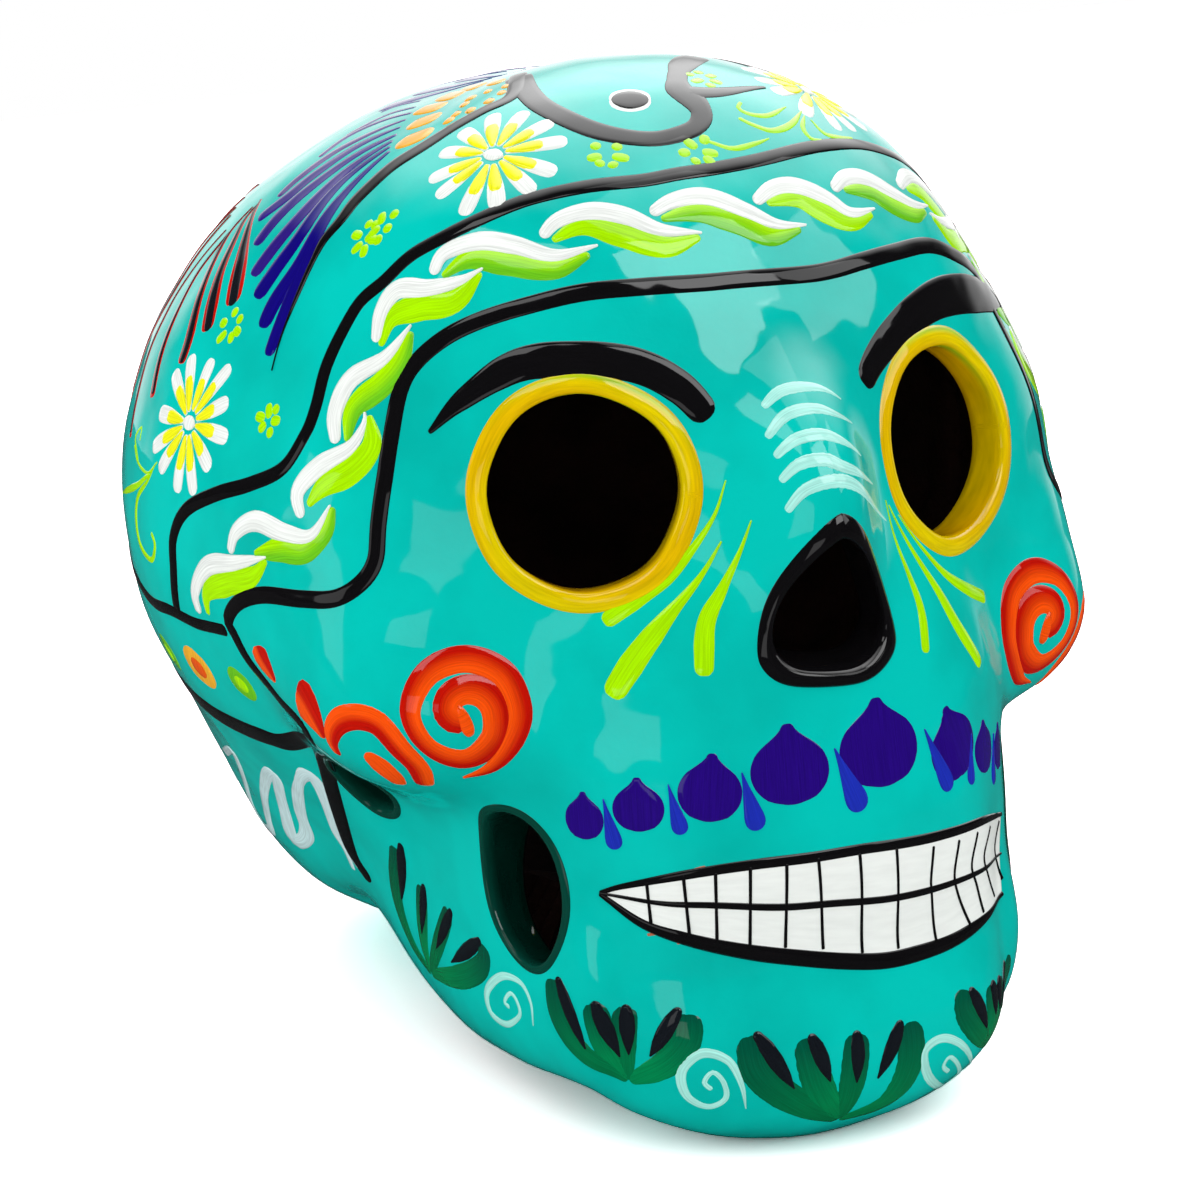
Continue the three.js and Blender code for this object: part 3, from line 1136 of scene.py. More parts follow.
# %% Pale strokes on the nose bridge
BRIDGE_STROKES = [
    [(763, 409), (780, 393), (802, 388), (822, 391), (840, 400)],
    [(767, 439), (786, 417), (815, 409), (835, 414), (851, 424)],
    [(775, 458), (795, 441), (820, 436), (840, 442), (860, 456)],
    [(780, 482), (800, 465), (825, 460), (847, 468), (872, 484)],
    [(787, 512), (806, 490), (838, 481), (862, 490), (885, 521)],
]
BRIDGE_WIDTHS = [1.6, 2.5, 2.7, 2.2, 1.2, 0.3]
THIN_PAINT = 0.09
lay_strokes("bridge_strokes", [stroke(traced(p), BRIDGE_WIDTHS, MINT, rise=THIN_PAINT)
                               for p in BRIDGE_STROKES])

# %% [markdown]
# Outlines over the head
# Two long black lines run over the forehead and down both sides. The photograph shows one side in
# full, so the stroke is read there up to the middle and repeated on the other side. Two more lines
# leave them and go round the back.

# %% Outlines over the forehead
UPPER_LINE_PIXELS = [
    (178, 612), (174, 572), (175, 536), (188, 510), (219, 494), (253, 484), (283, 468), (306, 436),
    (317, 408), (328, 370), (344, 328), (362, 302), (384, 281), (412, 256), (444, 237), (480, 221),
    (530, 201), (582, 189), (640, 182), (676, 176), (715, 170),
]
LOWER_LINE_PIXELS = [
    (372, 884), (352, 851), (336, 801), (319, 751), (306, 731), (279, 698), (253, 665), (235, 635),
    (230, 619), (240, 602), (263, 595), (302, 599), (336, 599), (359, 585), (375, 562), (380, 526),
    (385, 479), (392, 440), (402, 390), (417, 363), (444, 339), (479, 322), (530, 306), (582, 294),
    (640, 287), (700, 283), (740, 280),
]
LEFT_UPPER_PIXELS = [(766, 160), (817, 148), (855, 145), (881, 151), (906, 163), (930, 182)]
LEFT_LOWER_PIXELS = [(800, 276), (830, 271), (860, 262), (895, 252), (925, 246), (950, 253),
                     (974, 272)]
JOIN_GAP = 2.0


def over_both_halves(right_side, left_side):
    """A line read on both sides as far as it shows, then completed from its twin."""
    right, left = traced(right_side), traced(left_side)
    hidden = mirrored(right)[::-1]
    beyond = hidden[:, 0] > left[-1][0] + JOIN_GAP
    return np.concatenate([right, left, hidden[beyond]])


upper_line = stroke(over_both_halves(UPPER_LINE_PIXELS, LEFT_UPPER_PIXELS), [3.0], BLACK)
lower_line = stroke(over_both_halves(LOWER_LINE_PIXELS, LEFT_LOWER_PIXELS),
                    [4.2, 4.0, 3.2, 3.3, 3.3, 3.3, 3.3, 3.2, 4.0, 4.2], BLACK)
print("forehead lines start at", upper_line["grid"][0, 0].round(), lower_line["grid"][0, 0].round())

# %% Lines round the back
SIDE_LINE_PIXELS = [(229, 630), (212, 627), (196, 622), (170, 610), (149, 597)]
LOW_LINE_PIXELS = [(312, 743), (290, 741), (263, 736), (229, 721), (200, 701)]
BACK_STEPS = (-130, -142, -154, -166, -178)
SIDE_LINE_UP, LOW_LINE_UP = 3.0, -12.0


def round_the_back(pixels, height):
    """From the front line round the back of the head to its twin."""
    side = traced(pixels)
    back = np.array([globe(around, height) for around in BACK_STEPS])
    half = np.concatenate([side, back])
    return np.concatenate([half, mirrored(half)[::-1]])


side_line = stroke(round_the_back(SIDE_LINE_PIXELS, SIDE_LINE_UP), [2.6, 3.2, 3.2, 2.6], BLACK)
low_line = stroke(round_the_back(LOW_LINE_PIXELS, LOW_LINE_UP), [4.0, 6.0, 4.6, 4.6, 6.0, 4.0],
                  BLACK)
lay_strokes("outlines", [upper_line, lower_line, side_line, low_line])

# %% [markdown]
# Presses of a round brush
# Petals, leaves, feathers and drops are each one press of a round brush: it touches, spreads and
# lifts. Only the way in which the width grows and shrinks tells them apart, so each kind keeps its
# widths as shares of the widest place.

# %% Brush presses
PETAL = np.array([0.3, 0.62, 0.92, 1.0, 0.86])
LEAF_PRESS = np.array([0.35, 0.75, 0.98, 1.0, 0.85])
DROP = np.array([0.06, 0.3, 0.62, 0.92, 1.0])
SLIVER = np.array([0.45, 0.95, 1.0, 0.7, 0.08])
DAB_END = 0.75
OVER = 0.13
THIN_RISE = 0.1


def press(places, width, colour, shape=PETAL, **more):
    return stroke(np.asarray(places, float), shape * width, colour, **more)


def dot(place, width, length, way, colour, **more):
    """A short dab round a place, longer along one direction."""
    reach = np.asarray(way, float) * length / 2
    widths = np.array([DAB_END, 1, DAB_END]) * width
    return stroke([place - reach, place, place + reach], widths, colour, **more)


print("a petal 3.5 mm wide:", (PETAL * 3.5).round(1), "mm along its length")

# %% [markdown]
# The twisted ribbon
# Between the two forehead lines lies a ribbon of S strokes. Lime goes on first, then a white S on
# its upper edge, and each pair hooks into the next one. They are read one by one, and repeated on
# the side that the picture hides.

# %% Ribbon
RIBBON_PIXELS = [
    ([(201, 613), (197, 590), (209, 566), (236, 563), (268, 557)],
     [(209, 615), (209, 592), (228, 582), (252, 577), (267, 560)]),
    ([(231, 553), (238, 532), (258, 521), (286, 533), (314, 535), (332, 505)],
     [(256, 554), (285, 549), (306, 549), (328, 530), (336, 507)]),
    ([(302, 518), (300, 492), (319, 467), (350, 448), (366, 425), (365, 412)],
     [(308, 506), (324, 487), (352, 470), (372, 446), (371, 416)]),
    ([(337, 444), (337, 414), (353, 381), (386, 358), (412, 325)],
     [(349, 443), (356, 410), (383, 386), (400, 362), (413, 332)]),
    ([(377, 343), (382, 311), (400, 291), (430, 290), (462, 282), (484, 269)],
     [(381, 347), (393, 320), (420, 307), (455, 302), (482, 273)]),
    ([(433, 275), (446, 255), (480, 243), (515, 247), (555, 256), (598, 247)],
     [(442, 277), (470, 259), (510, 262), (555, 270), (590, 255)]),
    ([(542, 239), (558, 222), (590, 212), (625, 217), (660, 231), (702, 233)],
     [(552, 241), (585, 226), (625, 236), (665, 248), (700, 238)]),
    ([(650, 215), (672, 203), (705, 199), (745, 211), (775, 226), (805, 226)],
     [(660, 221), (700, 213), (740, 224), (770, 236), (800, 230)]),
    ([(753, 204), (772, 189), (795, 187), (825, 199), (850, 213), (874, 209)],
     [(765, 205), (795, 199), (825, 212), (850, 221), (872, 214)]),
    ([(832, 190), (845, 178), (866, 179), (893, 194), (912, 205), (926, 207)],
     [(842, 191), (870, 191), (893, 204), (912, 214), (925, 212)]),
    ([(898, 187), (905, 177), (918, 181), (935, 200), (950, 222), (958, 240)],
     [(906, 189), (920, 192), (936, 210), (950, 228), (958, 240)]),
]
WHITE_S = [2.0, 3.1, 3.7, 3.7, 3.0, 1.9, 0.4]
LIME_S = [1.2, 3.8, 5.4, 5.2, 3.8, 1.2]
TWINNED = 5


def ribbon():
    strokes = []
    for number, (white, lime) in enumerate(RIBBON_PIXELS):
        under = stroke(traced(lime), LIME_S, LIME, edge=GRASS if number % 2 else None)
        upper = stroke(traced(white), WHITE_S, WHITE, base=OVER)
        strokes += [under, upper]
        if number < TWINNED:
            strokes += twins([under, upper])
    return strokes


lay_strokes("twisted_ribbon", ribbon())

# %% [markdown]
# Tears of lime
# Long thin drops fan out below each eye. The brush lands thin beside the nose and is pressed wide
# at the far end.

# %% Lime strokes below the eyes
TEARS = [
    ([(727, 480), (712, 520), (675, 570), (640, 597), (603, 624)], 2.6),
    ([(722, 541), (700, 578), (665, 620), (635, 660), (611, 699)], 3.6),
    ([(752, 520), (741, 550), (722, 590), (706, 625), (704, 678)], 2.9),
    ([(884, 500), (893, 535), (908, 575), (920, 610), (926, 654)], 1.9),
    ([(888, 505), (910, 550), (935, 590), (957, 628), (981, 666)], 2.7),
    ([(896, 515), (920, 548), (945, 574), (965, 588), (985, 598)], 2.2),
]
TEAR_SHAPE = np.array([0.1, 0.3, 0.6, 1.1, 1.35, 1.2])
TEAR_RISE = 0.14
lay_strokes("lime_tears", [press(traced(p), w, LIME, TEAR_SHAPE, rise=TEAR_RISE) for p, w in TEARS])

# %% [markdown]
# Swirls on the cheeks
# The brush carries red on one side and orange on the other, so a single spiral stroke comes out in
# two colours. The spiral is written as angles and distances from its middle, as the wrist turns.
# Commas of the same two colours run back from it along the cheekbone.

# %% Cheek swirls
SWIRL_CENTRE = (465, 711)
SWIRL_TURN = [(92, 66), (65, 60), (35, 55), (0, 54), (-45, 53), (-90, 52), (-135, 53), (-180, 54),
              (-225, 51), (-270, 47), (-315, 40), (-360, 31), (-405, 25), (-450, 22), (-495, 20),
              (-540, 18), (-590, 12), (-640, 5)]
SWIRL_WIDTHS = [0.4, 2.8, 4.6, 5.0, 5.0, 5.0, 4.9, 4.4, 3.6, 3.4, 4.2, 5.2, 5.4, 5.4, 5.2, 4.6]
SWIRL_EYE, SWIRL_EYE_WIDTH = [(458, 722), (464, 720), (470, 717)], 6.0


def turned(centre, turn):
    return [(centre[0] + reach * math.cos(math.radians(angle)),
             centre[1] + reach * math.sin(math.radians(angle))) for angle, reach in turn]


swirl_path = traced(turned(SWIRL_CENTRE, SWIRL_TURN))
swirl = [stroke(swirl_path, SWIRL_WIDTHS, ORANGE, edge=RED, step=FINE_STEP),
         stroke(traced(SWIRL_EYE), [SWIRL_EYE_WIDTH], ORANGE, base=OVER)]
lay_strokes("cheek_swirls", both(swirl))

# %% Commas along the cheekbone
COMMAS = [
    ([(276, 682), (270, 670), (262, 656), (255, 643)], (3, 12, 18, 19)),
    ([(326, 738), (316, 720), (305, 702), (295, 688)], (4, 17, 24, 26)),
]
BIG_COMMA = [(340, 755), (332, 738), (338, 722), (358, 716), (380, 724), (402, 748), (419, 768),
             (426, 786)]
BIG_COMMA_WIDTHS = [2.0, 4.2, 5.0, 5.0, 4.8, 4.6, 4.4, 3.4]
COMMA_HEART = [(365, 752), (377, 763), (392, 775), (402, 784)]
COMMA_HEART_WIDTHS = [2.6, 5.0, 4.6, 2.4]


def commas():
    strokes = [stroke_seen(path, spans, ORANGE, edge=RED) for path, spans in COMMAS]
    strokes.append(stroke(traced(BIG_COMMA), BIG_COMMA_WIDTHS, ORANGE, edge=RED))
    strokes.append(stroke(traced(COMMA_HEART), COMMA_HEART_WIDTHS, ORANGE))
    return strokes


lay_strokes("cheekbone_commas", both(commas()))

# %% [markdown]
# Beads above the teeth
# A row of blue-violet beads, each with a small point on top, and a slim blue drop between two
# beads. The paint is thin.

# %% Beads
BEADS = [((586, 840), (584, 790), 7.4), ((640, 832), (637, 776), 9.4),
         ((708, 823), (712, 752), 11.4), ((792, 806), (786, 722), 14.6)]
LEFT_BEADS = [((886, 788), (875, 696), 17.0), ((964, 774), (942, 706), 12.4)]
BEAD_DROPS = [((617, 849), (604, 798), 3.2), ((682, 834), (668, 784), 3.0),
              ((757, 830), (741, 772), 3.8)]
LEFT_BEAD_DROPS = [((860, 811), (833, 748), 4.6), ((950, 790), (923, 729), 4.2)]
HIDDEN_BEADS, HIDDEN_DROPS = 3, 2
BEAD_RISE, BEAD_DROP_BASE = 0.12, OVER * 0.6
BEAD_STEPS, BEAD_STEP = 14, 0.7
TIP_SHARE, TIP_WIDTH, TIP_SLOPE, TIP_END = 0.16, 0.36, 6, 0.1
FLAT_END = 0.03


def bead_shape():
    """Widths of a ball that ends in a small point."""
    along = np.linspace(0, 1, BEAD_STEPS)
    ball = np.clip(along / (1 - TIP_SHARE), 0, 1) * 2 - 1
    point = TIP_WIDTH * np.clip((1 - along) * TIP_SLOPE, TIP_END, 1) * (along > 0.5)
    return np.maximum(np.sqrt(np.clip(1 - ball**2, FLAT_END, 1)), point)


def bead(bottom, tip, width):
    return press(traced([bottom, tip]), width, VIOLET, bead_shape(), rise=BEAD_RISE, step=BEAD_STEP)


def bead_drop(bottom, tip, width):
    return press(traced([tip, bottom]), width, BLUE, DROP, base=BEAD_DROP_BASE, rise=THIN_RISE)


def bead_row():
    beads, drops = [bead(*b) for b in BEADS], [bead_drop(*d) for d in BEAD_DROPS]
    left = [bead(*b) for b in LEFT_BEADS] + [bead_drop(*d) for d in LEFT_BEAD_DROPS]
    return beads + drops + left + twins(beads[:HIDDEN_BEADS] + drops[:HIDDEN_DROPS])


lay_strokes("bead_row", bead_row())

# %% [markdown]
# Mouth
# The teeth aren't modelled one by one, as on a real skull: the maker paints one white band and lays
# black lines over it, two thick ones for the lips, one for the bite and thin ones from top to
# bottom. So the band is a sheet between the two lip curves, and the lines are strokes. Beside the
# lips a few flakes of paint are missing, and the red clay shows.

# %% Teeth
UPPER_LIP = [(601, 892), (624, 886), (684, 875), (751, 865), (815, 857)]
LEFT_UPPER_LIP = [(860, 849), (895, 844), (927, 838), (955, 831), (984, 820), (1000, 814)]
BITE = [(601, 892), (656, 902), (713, 905), (783, 905), (834, 902)]
LEFT_BITE = [(892, 897), (930, 889), (975, 873), (1000, 853)]
LOWER_LIP = [(601, 892), (640, 921), (684, 937), (739, 948), (799, 956), (841, 960)]
LEFT_LOWER_LIP = [(879, 960), (911, 954), (952, 940), (984, 917), (1000, 893)]
upper_lip, bite, lower_lip = (smooth_path(over_both_halves(*sides), FINE_STEP)[0] for sides in (
    (UPPER_LIP, LEFT_UPPER_LIP), (BITE, LEFT_BITE), (LOWER_LIP, LEFT_LOWER_LIP)))


def even(curve, count):
    length = distance_along(curve)
    return resample(curve, length, np.linspace(0, length[-1], count))


TEETH_ROWS, TEETH_COLUMNS = 120, 26
TEETH_STREAKS = (0.9, 0.3)


def teeth_band():
    top, bottom = even(upper_lip, TEETH_ROWS), even(lower_lip, TEETH_ROWS)
    share = np.linspace(0, 1, TEETH_COLUMNS)[None, :, None]
    grid = top[:, None] * (1 - share) + bottom[:, None] * share
    tops = np.full(grid.shape[:2], THIN_RISE)
    tops[0], tops[-1], tops[:, 0], tops[:, -1] = (EDGE_DIP,) * 4
    along = np.arange(TEETH_ROWS)[:, None] * TEETH_STREAKS[0]
    down = np.arange(TEETH_COLUMNS)[None] * TEETH_STREAKS[1]
    return {"grid": grid[::-1], "tops": tops, "colours": np.broadcast_to(WHITE, grid.shape),
            "ways": np.stack(np.broadcast_arrays(along, down, 0.0), -1)}


lay_strokes("teeth", [teeth_band()], smooth_paint)

# %% Tooth lines
DIVIDERS = [
    ((647, 880), (651, 924)), ((683, 874), (689, 936)), ((715, 871), (716, 943)),
    ((750, 866), (749, 949)), ((785, 862), (785, 948)), ((818, 857), (822, 949)),
    ((857, 852), (860, 953)), ((894, 847), (896, 949)),
    ((931, 845), (930, 878), (931, 892), (935, 942)),
    ((958, 839), (952, 872), (956, 892), (969, 926)),
    ((977, 831), (970, 864), (974, 884), (983, 913)),
    ((989, 825), (983, 855), (986, 874), (993, 897)),
    ((998, 820), (993, 845), (995, 862), (1000, 880)),
]
DIVIDER_WIDTHS = [0.7, 0.6, 0.7]
LIP_BASE, BITE_BASE = 0.06, 0.08
LIP_LINES = [(upper_lip, 30, 0.8, 1.8, 2.0, LIP_BASE), (lower_lip, 40, 0.9, 2.6, 3.2, LIP_BASE),
             (bite, 30, 0.5, 1.2, 1.5, BITE_BASE)]
LAST_SEEN_TOOTH = 3.0


def lip_line(curve, count, end, near_end, middle, base):
    """A line that is thin at the corners of the mouth and even between them."""
    widths = [end, near_end, middle, middle, middle, near_end, end]
    return stroke(even(curve, count), widths, BLACK, base=base)


def tooth_lines():
    lines = [lip_line(*line) for line in LIP_LINES]
    places = [traced(line) for line in DIVIDERS]
    beyond = places[-1][0][0] + LAST_SEEN_TOOTH
    places += [mirrored(p) for p in places if mirrored(p)[0][0] > beyond]
    return lines + [stroke(p, DIVIDER_WIDTHS, BLACK, base=BITE_BASE) for p in places]


lay_strokes("tooth_lines", tooth_lines())

# %% Chips beside the lips
CHIPS = [(655, 879), (698, 868), (655, 932), (682, 942)]
CHIP_WAY = (0.97, 0, 0.2)
CHIP_WIDTH, CHIP_LENGTHS, CHIP_RISE = 0.8, (2.0, 4.0), 0.03
chip_dice = np.random.default_rng(11)


def chip(pixel):
    length = chip_dice.uniform(*CHIP_LENGTHS)
    return dot(seen(*pixel), CHIP_WIDTH, length, CHIP_WAY, BARE_CLAY, rise=CHIP_RISE)


lay_strokes("lip_chips", [chip(pixel) for pixel in CHIPS])

# %% [markdown]
# Leaf sprays along the jaw
# Each spray is four presses of green from one foot, the outer ones bowed, and a slim black stroke
# that runs into each leaf from its tip. The green runs out darker towards the tip of the leaf. Pale
# spirals of thin paint fill the gaps between the sprays.

# %% Sprays
SPRAYS = [
    ((432, 973), [
        ([(412, 942), (398, 895), (398, 846)], 5.2, (401, 843), (403, 899)),
        ([(424, 935), (423, 884)], 5.0, (425, 884), (424, 933)),
        ([(436, 952), (450, 910)], 4.8, (452, 910), (438, 948)),
        ([(460, 977), (482, 966), (485, 944)], 5.2, (481, 940), (452, 962)),
    ]),
    ((630, 1078), [
        ([(583, 1052), (559, 1015), (555, 976)], 5.4, (559, 976), (587, 1049)),
        ([(610, 1052), (594, 1001)], 5.2, (597, 1000), (621, 1056)),
        ([(625, 1040), (625, 1004)], 5.0, (625, 1004), (629, 1055)),
        ([(665, 1064), (686, 1040), (687, 1012)], 5.6, (678, 1008), (650, 1055)),
    ]),
    ((838, 1118), [
        ([(795, 1102), (759, 1072), (749, 1033)], 6.4, (754, 1032), (794, 1088)),
        ([(818, 1085), (804, 1036)], 6.0, (810, 1034), (830, 1081)),
        ([(853, 1080), (856, 1031)], 5.6, (855, 1030), (855, 1081)),
        ([(882, 1102), (909, 1066), (909, 1020)], 6.4, (901, 1020), (876, 1077)),
    ]),
]
PAST_THE_CHIN = ((996, 1052), [
    ([(981, 1034), (965, 1012), (964, 988)], 5.4, (969, 988), (985, 1027)),
    ([(993, 1020), (988, 984)], 5.0, (991, 980), (995, 1014)),
])
BLACK_SLIVER_WIDTH, BLACK_SLIVER_BASE = 3.0, OVER * 0.8


def spray(foot, leaves):
    strokes, slivers = [], []
    for number, (path, width, tip, end) in enumerate(leaves):
        strokes.append(press(traced([foot] + path), width, LEAF if number % 2 else DEEP_LEAF,
                             LEAF_PRESS, tail=DARK_LEAF, rise=THIN_RISE))
        slivers.append(press(traced([tip, end]), BLACK_SLIVER_WIDTH, INK, SLIVER,
                             base=BLACK_SLIVER_BASE, rise=THIN_RISE))
    return strokes + slivers


def turned_over(points, foot):
    """The same places past an upright line through the foot, seen from inside the skull."""
    offset = np.asarray(points) - INSIDE_POINT
    turn = np.arctan2(offset[..., 0], -offset[..., 1])
    there = foot - INSIDE_POINT
    turn = 2 * math.atan2(there[0], -there[1]) - turn
    out = np.hypot(offset[..., 0], offset[..., 1])
    return INSIDE_POINT + np.stack([out * np.sin(turn), -out * np.cos(turn), offset[..., 2]], -1)


def hidden_leaves(strokes, foot):
    """The leaves past the edge of the picture, as twins of the ones that show."""
    return [dict(s, grid=settle(turned_over(s["grid"], foot))[:, ::-1]) for s in strokes]


seen_leaves = spray(*PAST_THE_CHIN)
chin_spray = seen_leaves + hidden_leaves(seen_leaves, seen(*PAST_THE_CHIN[0]))
side_spray, jaw_spray, middle_spray = (spray(*s) for s in SPRAYS)
lay_strokes("leaf_sprays", both(side_spray) + jaw_spray + middle_spray + chin_spray)

# %% Pale spirals between the sprays
SPIRAL_PATH = [(1.02, 0.77), (0.87, 0.0), (0.48, -0.68), (-0.29, -0.87), (-0.87, -0.39),
               (-0.72, 0.35), (-0.1, 0.72), (0.42, 0.45), (0.36, -0.02), (0.05, -0.3),
               (-0.2, -0.02), (0.02, 0.18)]
SPIRAL_WIDTHS = [0.2, 0.9, 1.4, 1.7, 2.0, 1.9, 1.7, 1.3, 1.0, 0.9, 1.0]
SPIRALS = [((510, 1002), 25, 30), ((711, 1082), 34, 33), ((948, 1066), 27, 32)]


def spiral(centre, wide, high):
    return stroke(traced([(centre[0] + x * wide, centre[1] + y * high) for x, y in SPIRAL_PATH]),
                  SPIRAL_WIDTHS, MINT, rise=THIN_PAINT, step=FINEST_STEP)


pale_spirals = [spiral(*s) for s in SPIRALS]
lay_strokes("jaw_spirals", pale_spirals + twins(pale_spirals[:1]))

# %% [markdown]
# Daisies
# Twelve white petals, a yellow press inside each and a white button. Every petal is its own press
# of the brush, set out round the middle with a small chance of error, as by hand. The dice have a
# fixed start, so the same flowers come out each time.

# %% Daisies
SIDE_DAISY, TOP_DAISY, LEFT_DAISY = (190, 423), (494, 157), (806, 92)
DAISY_PETALS = 12
DAISY_REACH, BACK_DAISY_REACH = 13.4, 14.5
PETAL_START, PETAL_WIDTH = 2.0, 3.5
HEART_START, HEART_WIDTH, HEART_SHARE = 2.2, 2.5, 0.68
BUTTON_WIDTH, BUTTON_LENGTH = 4.2, 2.6
PETAL_TURN_ERROR, PETAL_LENGTHS = 0.12, (0.9, 1.06)
NEARLY_LEVEL = 0.25
DAISY_DICE = np.random.default_rng(21)


def flat_frame(centre):
    """Two directions along the skin: across and upwards."""
    outward = skin_height(centre[None])[1][0]
    across = np.cross([0, 0, 1], outward)
    if np.linalg.norm(across) < NEARLY_LEVEL:
        across = np.array([1.0, 0.0, 0.0]) - outward * outward[0]
    across /= np.linalg.norm(across)
    return across, np.cross(outward, across)


def daisy(centre, reach=DAISY_REACH):
    centre = settle(np.asarray(centre, float)[None])[0]
    across, upwards = flat_frame(centre)
    strokes, hearts = [], []
    for k in range(DAISY_PETALS):
        error = DAISY_DICE.uniform(-PETAL_TURN_ERROR, PETAL_TURN_ERROR)
        turn = 2 * math.pi * (k + error) / DAISY_PETALS
        way = across * math.cos(turn) + upwards * math.sin(turn)
        far = reach * DAISY_DICE.uniform(*PETAL_LENGTHS)
        strokes.append(press([centre + way * PETAL_START, centre + way * far], PETAL_WIDTH, WHITE))
        hearts.append(press([centre + way * HEART_START, centre + way * far * HEART_SHARE],
                            HEART_WIDTH, PETAL_YELLOW, base=OVER))
    button = dot(centre, BUTTON_WIDTH, BUTTON_LENGTH, upwards, WHITE, base=OVER * 2)
    return strokes + hearts + [button]


side_daisies = both(daisy(seen(*SIDE_DAISY)))
top_daisies = daisy(seen(*TOP_DAISY)) + daisy(seen(*LEFT_DAISY))
back_daisy = daisy(globe(180, 28), BACK_DAISY_REACH)
lay_strokes("daisies", side_daisies + top_daisies + back_daisy)

# %% [markdown]
# Tendrils and dots
# Thin lime tendrils leave the daisies, and clusters of six dabs fill the ground between the motifs.
# The first tendrils and clusters lie on the side of the head and get twins on the hidden side.
# Those on the crown lie near the middle and are seen as they are.

# %% Tendrils and clusters of dots
TENDRILS = [
    ([(140, 466), (138, 452), (136, 437), (143, 427), (141, 441)], 0.5),
    ([(158, 462), (148, 473), (139, 462), (136, 445)], 0.6),
    ([(155, 466), (148, 481), (139, 497), (137, 520), (141, 545), (152, 560), (156, 545),
      (152, 532)], 1.3),
    ([(123, 493), (137, 486), (150, 474)], 1.3),
    ([(801, 112), (790, 126), (772, 132), (752, 127), (737, 120)], 1.3),
    ([(786, 107), (768, 117), (750, 116), (738, 109), (741, 102)], 1.1),
    ([(769, 139), (754, 146), (732, 150), (708, 142)], 1.1),
    ([(804, 116), (803, 128), (811, 139), (821, 142)], 1.0),
    ([(810, 120), (824, 134), (840, 139), (852, 139)], 1.1),
]
CLUSTERS = [(382, 228), (368, 240), (271, 421), (607, 157), (700, 153), (705, 79), (233, 327)]
SIDE_TENDRILS, SIDE_CLUSTERS = 4, 3
CLUSTER_DOTS, CLUSTER_REACH, REACH_SHARES = 6, 2.9, (0.6, 1.1)
DOT_WIDTH, DOT_LENGTHS, DOT_RISE, DOT_TURN_ERROR = 2.2, (1.8, 3.4), 0.12, 0.2
TENDRIL_START, TENDRIL_SHAPE = 0.3, np.array([1, 1.3, 1, 0.7])


def tendril(path, width):
    return stroke(traced(path), [TENDRIL_START, *(TENDRIL_SHAPE * width)], LIME, rise=THIN_RISE)


def cluster(centre):
    across, upwards = flat_frame(centre)
    dots = []
    for k in range(CLUSTER_DOTS):
        error = DAISY_DICE.uniform(-DOT_TURN_ERROR, DOT_TURN_ERROR)
        turn = 2 * math.pi * (k + error) / CLUSTER_DOTS
        way = across * math.cos(turn) + upwards * math.sin(turn)
        dots.append(dot(centre + way * CLUSTER_REACH * DAISY_DICE.uniform(*REACH_SHARES), DOT_WIDTH,
                        DAISY_DICE.uniform(*DOT_LENGTHS), way, LIME, rise=DOT_RISE))
    return dots


vines = [tendril(*t) for t in TENDRILS]
clusters = [s for p in CLUSTERS for s in cluster(seen(*p))]
side_dots = SIDE_CLUSTERS * CLUSTER_DOTS
lay_strokes("tendrils_and_dots", both(vines[:SIDE_TENDRILS]) + vines[SIDE_TENDRILS:]
            + both(clusters[:side_dots]) + clusters[side_dots:])

# %% [markdown]
# The bird on the crown
# A simple folk bird spreads its wings over the crown: a head in outline with a ringed eye, a row
# of orange dabs where the wing begins, blue feathers and dark feathers edged in red.

# %% Bird's head
HEAD_LINE = [(517, 76), (528, 93), (549, 111), (596, 131), (651, 140), (690, 132), (702, 116),
             (694, 102), (680, 92), (677, 78), (684, 64), (699, 57)]
HEAD_SPANS = [13, 14, 14, 14, 15, 15, 17, 18, 17, 15, 14, 13]
BEAK_LINE = [(680, 93), (720, 92), (765, 89)]
BEAK_SPANS = [12, 8, 2]
EYE_CENTRE = (630, 100)
EYE_WHITE, EYE_PUPIL = (8.0, 8.4), (6.0, 6.4)


def bird_head():
    line = stroke_seen(HEAD_LINE, HEAD_SPANS, BLACK)
    beak = stroke_seen(BEAK_LINE, BEAK_SPANS, BLACK)
    centre = seen(*EYE_CENTRE)
    white = dot(centre, *EYE_WHITE, view_right, WHITE, rise=THIN_RISE)
    pupil = dot(centre, *EYE_PUPIL, view_right, BLACK, base=OVER)
    return [line, beak, white, pupil]


lay_strokes("bird_head", bird_head())

